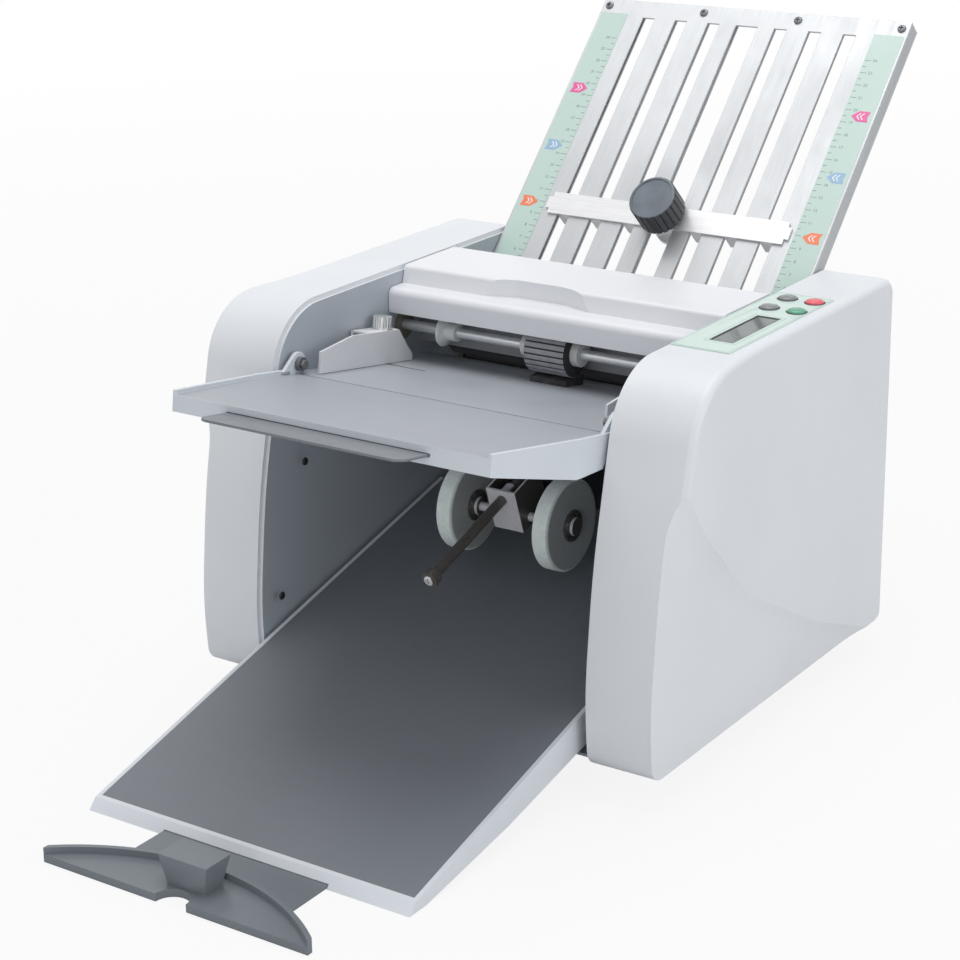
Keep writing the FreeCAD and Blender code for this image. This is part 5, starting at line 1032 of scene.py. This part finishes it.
def push_button(name, material):
    """Domed cap that replaces the plain one, and the collar it comes out of."""
    low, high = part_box(name)
    centre = (low + high) / 2
    panel_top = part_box("control_panel")[1].z
    inner, outer = CAP_RADIUS * MM, COLLAR_RADIUS * MM
    root, rise = low.z - panel_top, COLLAR_RISE * MM
    cap = bmesh.new()
    add_turned(cap, [(0, root), (inner, root)] + [
        (out * CAP_RADIUS * MM, up * CAP_RISE * MM) for out, up in CAP_PROFILE], CAP_STEPS)
    place = Matrix.Translation((centre.x, centre.y, panel_top))
    kind = name.split("_")[0]
    made = piece(name + "_cap", cap, material, "button_" + kind, place)
    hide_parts(name)
    collar = bmesh.new()
    add_turned(collar, [(inner, 0), (outer, 0), (outer, rise * COLLAR_SHOULDER),
                        ((inner + outer) / 2, rise), (inner, rise), (inner, 0)], CAP_STEPS)
    piece(name + "_collar", collar, black_plastic, "housing", place)


for name, material in (("start_button", cap_green), ("stop_button", cap_red),
                       ("plus_button", cap_grey), ("minus_button", cap_grey)):
    push_button(name, material)


# Printed lines of the control panel, and the rim of its display

LINE_WIDTH, LINE_RISE = 0.5, 0.05
PANEL_INSET, DISPLAY_MARGIN = 0.8, 2.6
RIM_MARGIN, RIM_WIDTH = 0.2, 0.7
RIM_ROOT, RIM_RISE = 0.1, 0.06


def ring_line(mesh, low, high, inset, width, base, top):
    """Rectangular line of a given width, inset from a rectangle."""
    left, front = low[0] + inset, low[1] + inset
    right, rear = high[0] - inset, high[1] - inset
    add_box(mesh, (left, front, base), (right, front + width, top))
    add_box(mesh, (left, rear - width, base), (right, rear, top))
    add_box(mesh, (left, front + width, base), (left + width, rear - width, top))
    add_box(mesh, (right - width, front + width, base), (right, rear - width, top))


def panel_lines():
    """Line round the panel, line round the display and the display's dark rim."""
    low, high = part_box("control_panel")
    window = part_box("display_window")
    width, level = LINE_WIDTH * MM, high.z + LINE_RISE * MM
    border = bmesh.new()
    ring_line(border, low, high, PANEL_INSET * MM, width, high.z, level)
    piece("panel_border", border, panel_line, "housing")
    frame_line = bmesh.new()
    ring_line(frame_line, *window, -DISPLAY_MARGIN * MM, width, high.z, level)
    piece("display_border", frame_line, panel_line, "housing")
    rim = bmesh.new()
    ring_line(rim, *window, -RIM_MARGIN * MM, RIM_WIDTH * MM, high.z - RIM_ROOT * MM,
              max(high.z, window[1].z) + RIM_RISE * MM)
    piece("display_rim", rim, display_rim, "housing")


panel_lines()


# Stage, light and camera

FLOOR_HALF = 12.0
FLOOR_LEVEL = -0.0002
FLOOR_TINT, FLOOR_ROUGH = (0.7, 0.7, 0.71, 1), 0.9
FLOOR_SHARE = 0.12
FLOOR_FADE = (0.6, 2.5)
WHITE = (1, 1, 1, 1)


def floor():
    """Pale floor: near the object a share of its shading is seen, far from it plain white."""
    mesh = bmesh.new()
    bmesh.ops.create_grid(mesh, x_segments=1, y_segments=1, size=FLOOR_HALF)
    data = bpy.data.meshes.new("floor")
    mesh.to_mesh(data)
    mesh.free()
    made = bpy.data.objects.new("floor", data)
    made.location.z = FLOOR_LEVEL
    put(made)
    paint = Paint("floor", Base_Color=FLOOR_TINT, Roughness=FLOOR_ROUGH)
    reach = paint.add("ShaderNodeVectorMath", operation="LENGTH")
    paint.link(paint.where, reach.inputs[0])
    fade = paint.spread(reach.outputs["Value"], 1 - FLOOR_SHARE, 1, *FLOOR_FADE)
    rays = paint.add("ShaderNodeLightPath")
    mix = paint.add("ShaderNodeMixShader")
    for source, socket in ((paint.math("MULTIPLY", rays.outputs["Is Camera Ray"], fade), 0),
                           (paint.shader.outputs[0], 1),
                           (paint.add("ShaderNodeEmission").outputs[0], 2)):
        paint.link(source, mix.inputs[socket])
    paint.link(mix.outputs[0], paint.tree.nodes["Material Output"].inputs["Surface"])
    data.materials.append(paint.material)


AMBIENT = 0.5
WORLD_TINT = (0.97, 0.985, 1.0, 1)


def world():
    """White to the eye and in reflections, softer as a source of light."""
    made = bpy.data.worlds.new("studio")
    bpy.context.scene.world = made
    made.use_nodes = True
    tree = made.node_tree
    tree.nodes.clear()
    rays = tree.nodes.new("ShaderNodeLightPath")
    shown = rays.outputs["Is Camera Ray"]
    for name in ("Is Glossy Ray", "Is Transmission Ray"):
        either = tree.nodes.new("ShaderNodeMath")
        either.operation = "MAXIMUM"
        tree.links.new(shown, either.inputs[0])
        tree.links.new(rays.outputs[name], either.inputs[1])
        shown = either.outputs[0]
    light, backdrop = (tree.nodes.new("ShaderNodeBackground") for _ in range(2))
    light.inputs["Color"].default_value = WORLD_TINT
    light.inputs["Strength"].default_value = AMBIENT
    backdrop.inputs["Color"].default_value = WHITE
    mix = tree.nodes.new("ShaderNodeMixShader")
    tree.links.new(shown, mix.inputs["Fac"])
    tree.links.new(light.outputs[0], mix.inputs[1])
    tree.links.new(backdrop.outputs[0], mix.inputs[2])
    output = tree.nodes.new("ShaderNodeOutputWorld")
    tree.links.new(mix.outputs[0], output.inputs["Surface"])


TARGET = Vector((0, 0, 0.16))
LAMPS = (
    ("top", (-0.25, 0.25, 2.6), 2.0, 34.0),
    ("front", (0.6, -2.2, 0.32), 1.2, 8.0),
    ("right", (2.0, 0.1, 0.7), 1.4, 9.0),
)


def lamps():
    for name, place, size, power in LAMPS:
        data = bpy.data.lights.new(name, "AREA")
        data.shape = "DISK"
        data.size = size
        data.energy = power
        lamp = bpy.data.objects.new(name, data)
        lamp.location = place
        lamp.rotation_mode = "QUATERNION"
        lamp.rotation_quaternion = (TARGET - Vector(place)).to_track_quat("-Z", "Y")
        put(lamp)


CAMERA_PLACE = Vector((0.7991, -1.1872, 0.6562))
CAMERA_HEADING, CAMERA_PITCH, CAMERA_ROLL = map(math.radians, (34.467, 19.612, -1.018))
IMAGE_SIDE = 960
FOCAL_PIXELS = 2394.5
MIDDLE_ACROSS, MIDDLE_DOWN = 483.1, 481.5
SENSOR = 36.0


def camera():
    """Camera at the photograph's place; heading, pitch and roll as fitted to it."""
    right = Vector((math.cos(CAMERA_HEADING), math.sin(CAMERA_HEADING), 0))
    ahead = Vector((-math.sin(CAMERA_HEADING) * math.cos(CAMERA_PITCH),
                    math.cos(CAMERA_HEADING) * math.cos(CAMERA_PITCH), -math.sin(CAMERA_PITCH)))
    up = right.cross(ahead)
    rolled_right = right * math.cos(CAMERA_ROLL) + up * math.sin(CAMERA_ROLL)
    rolled_up = up * math.cos(CAMERA_ROLL) - right * math.sin(CAMERA_ROLL)
    data = bpy.data.cameras.new("camera")
    data.sensor_width = SENSOR
    data.lens = SENSOR * FOCAL_PIXELS / IMAGE_SIDE
    data.shift_x = (IMAGE_SIDE / 2 - MIDDLE_ACROSS) / IMAGE_SIDE
    data.shift_y = (MIDDLE_DOWN - IMAGE_SIDE / 2) / IMAGE_SIDE
    made = bpy.data.objects.new("camera", data)
    turned = Matrix((rolled_right, rolled_up, -ahead)).transposed()
    made.matrix_world = Matrix.Translation(CAMERA_PLACE) @ turned.to_4x4()
    put(made)
    bpy.context.scene.camera = made


floor()
world()
lamps()
camera()
bpy.context.scene.view_settings.view_transform = "Standard"
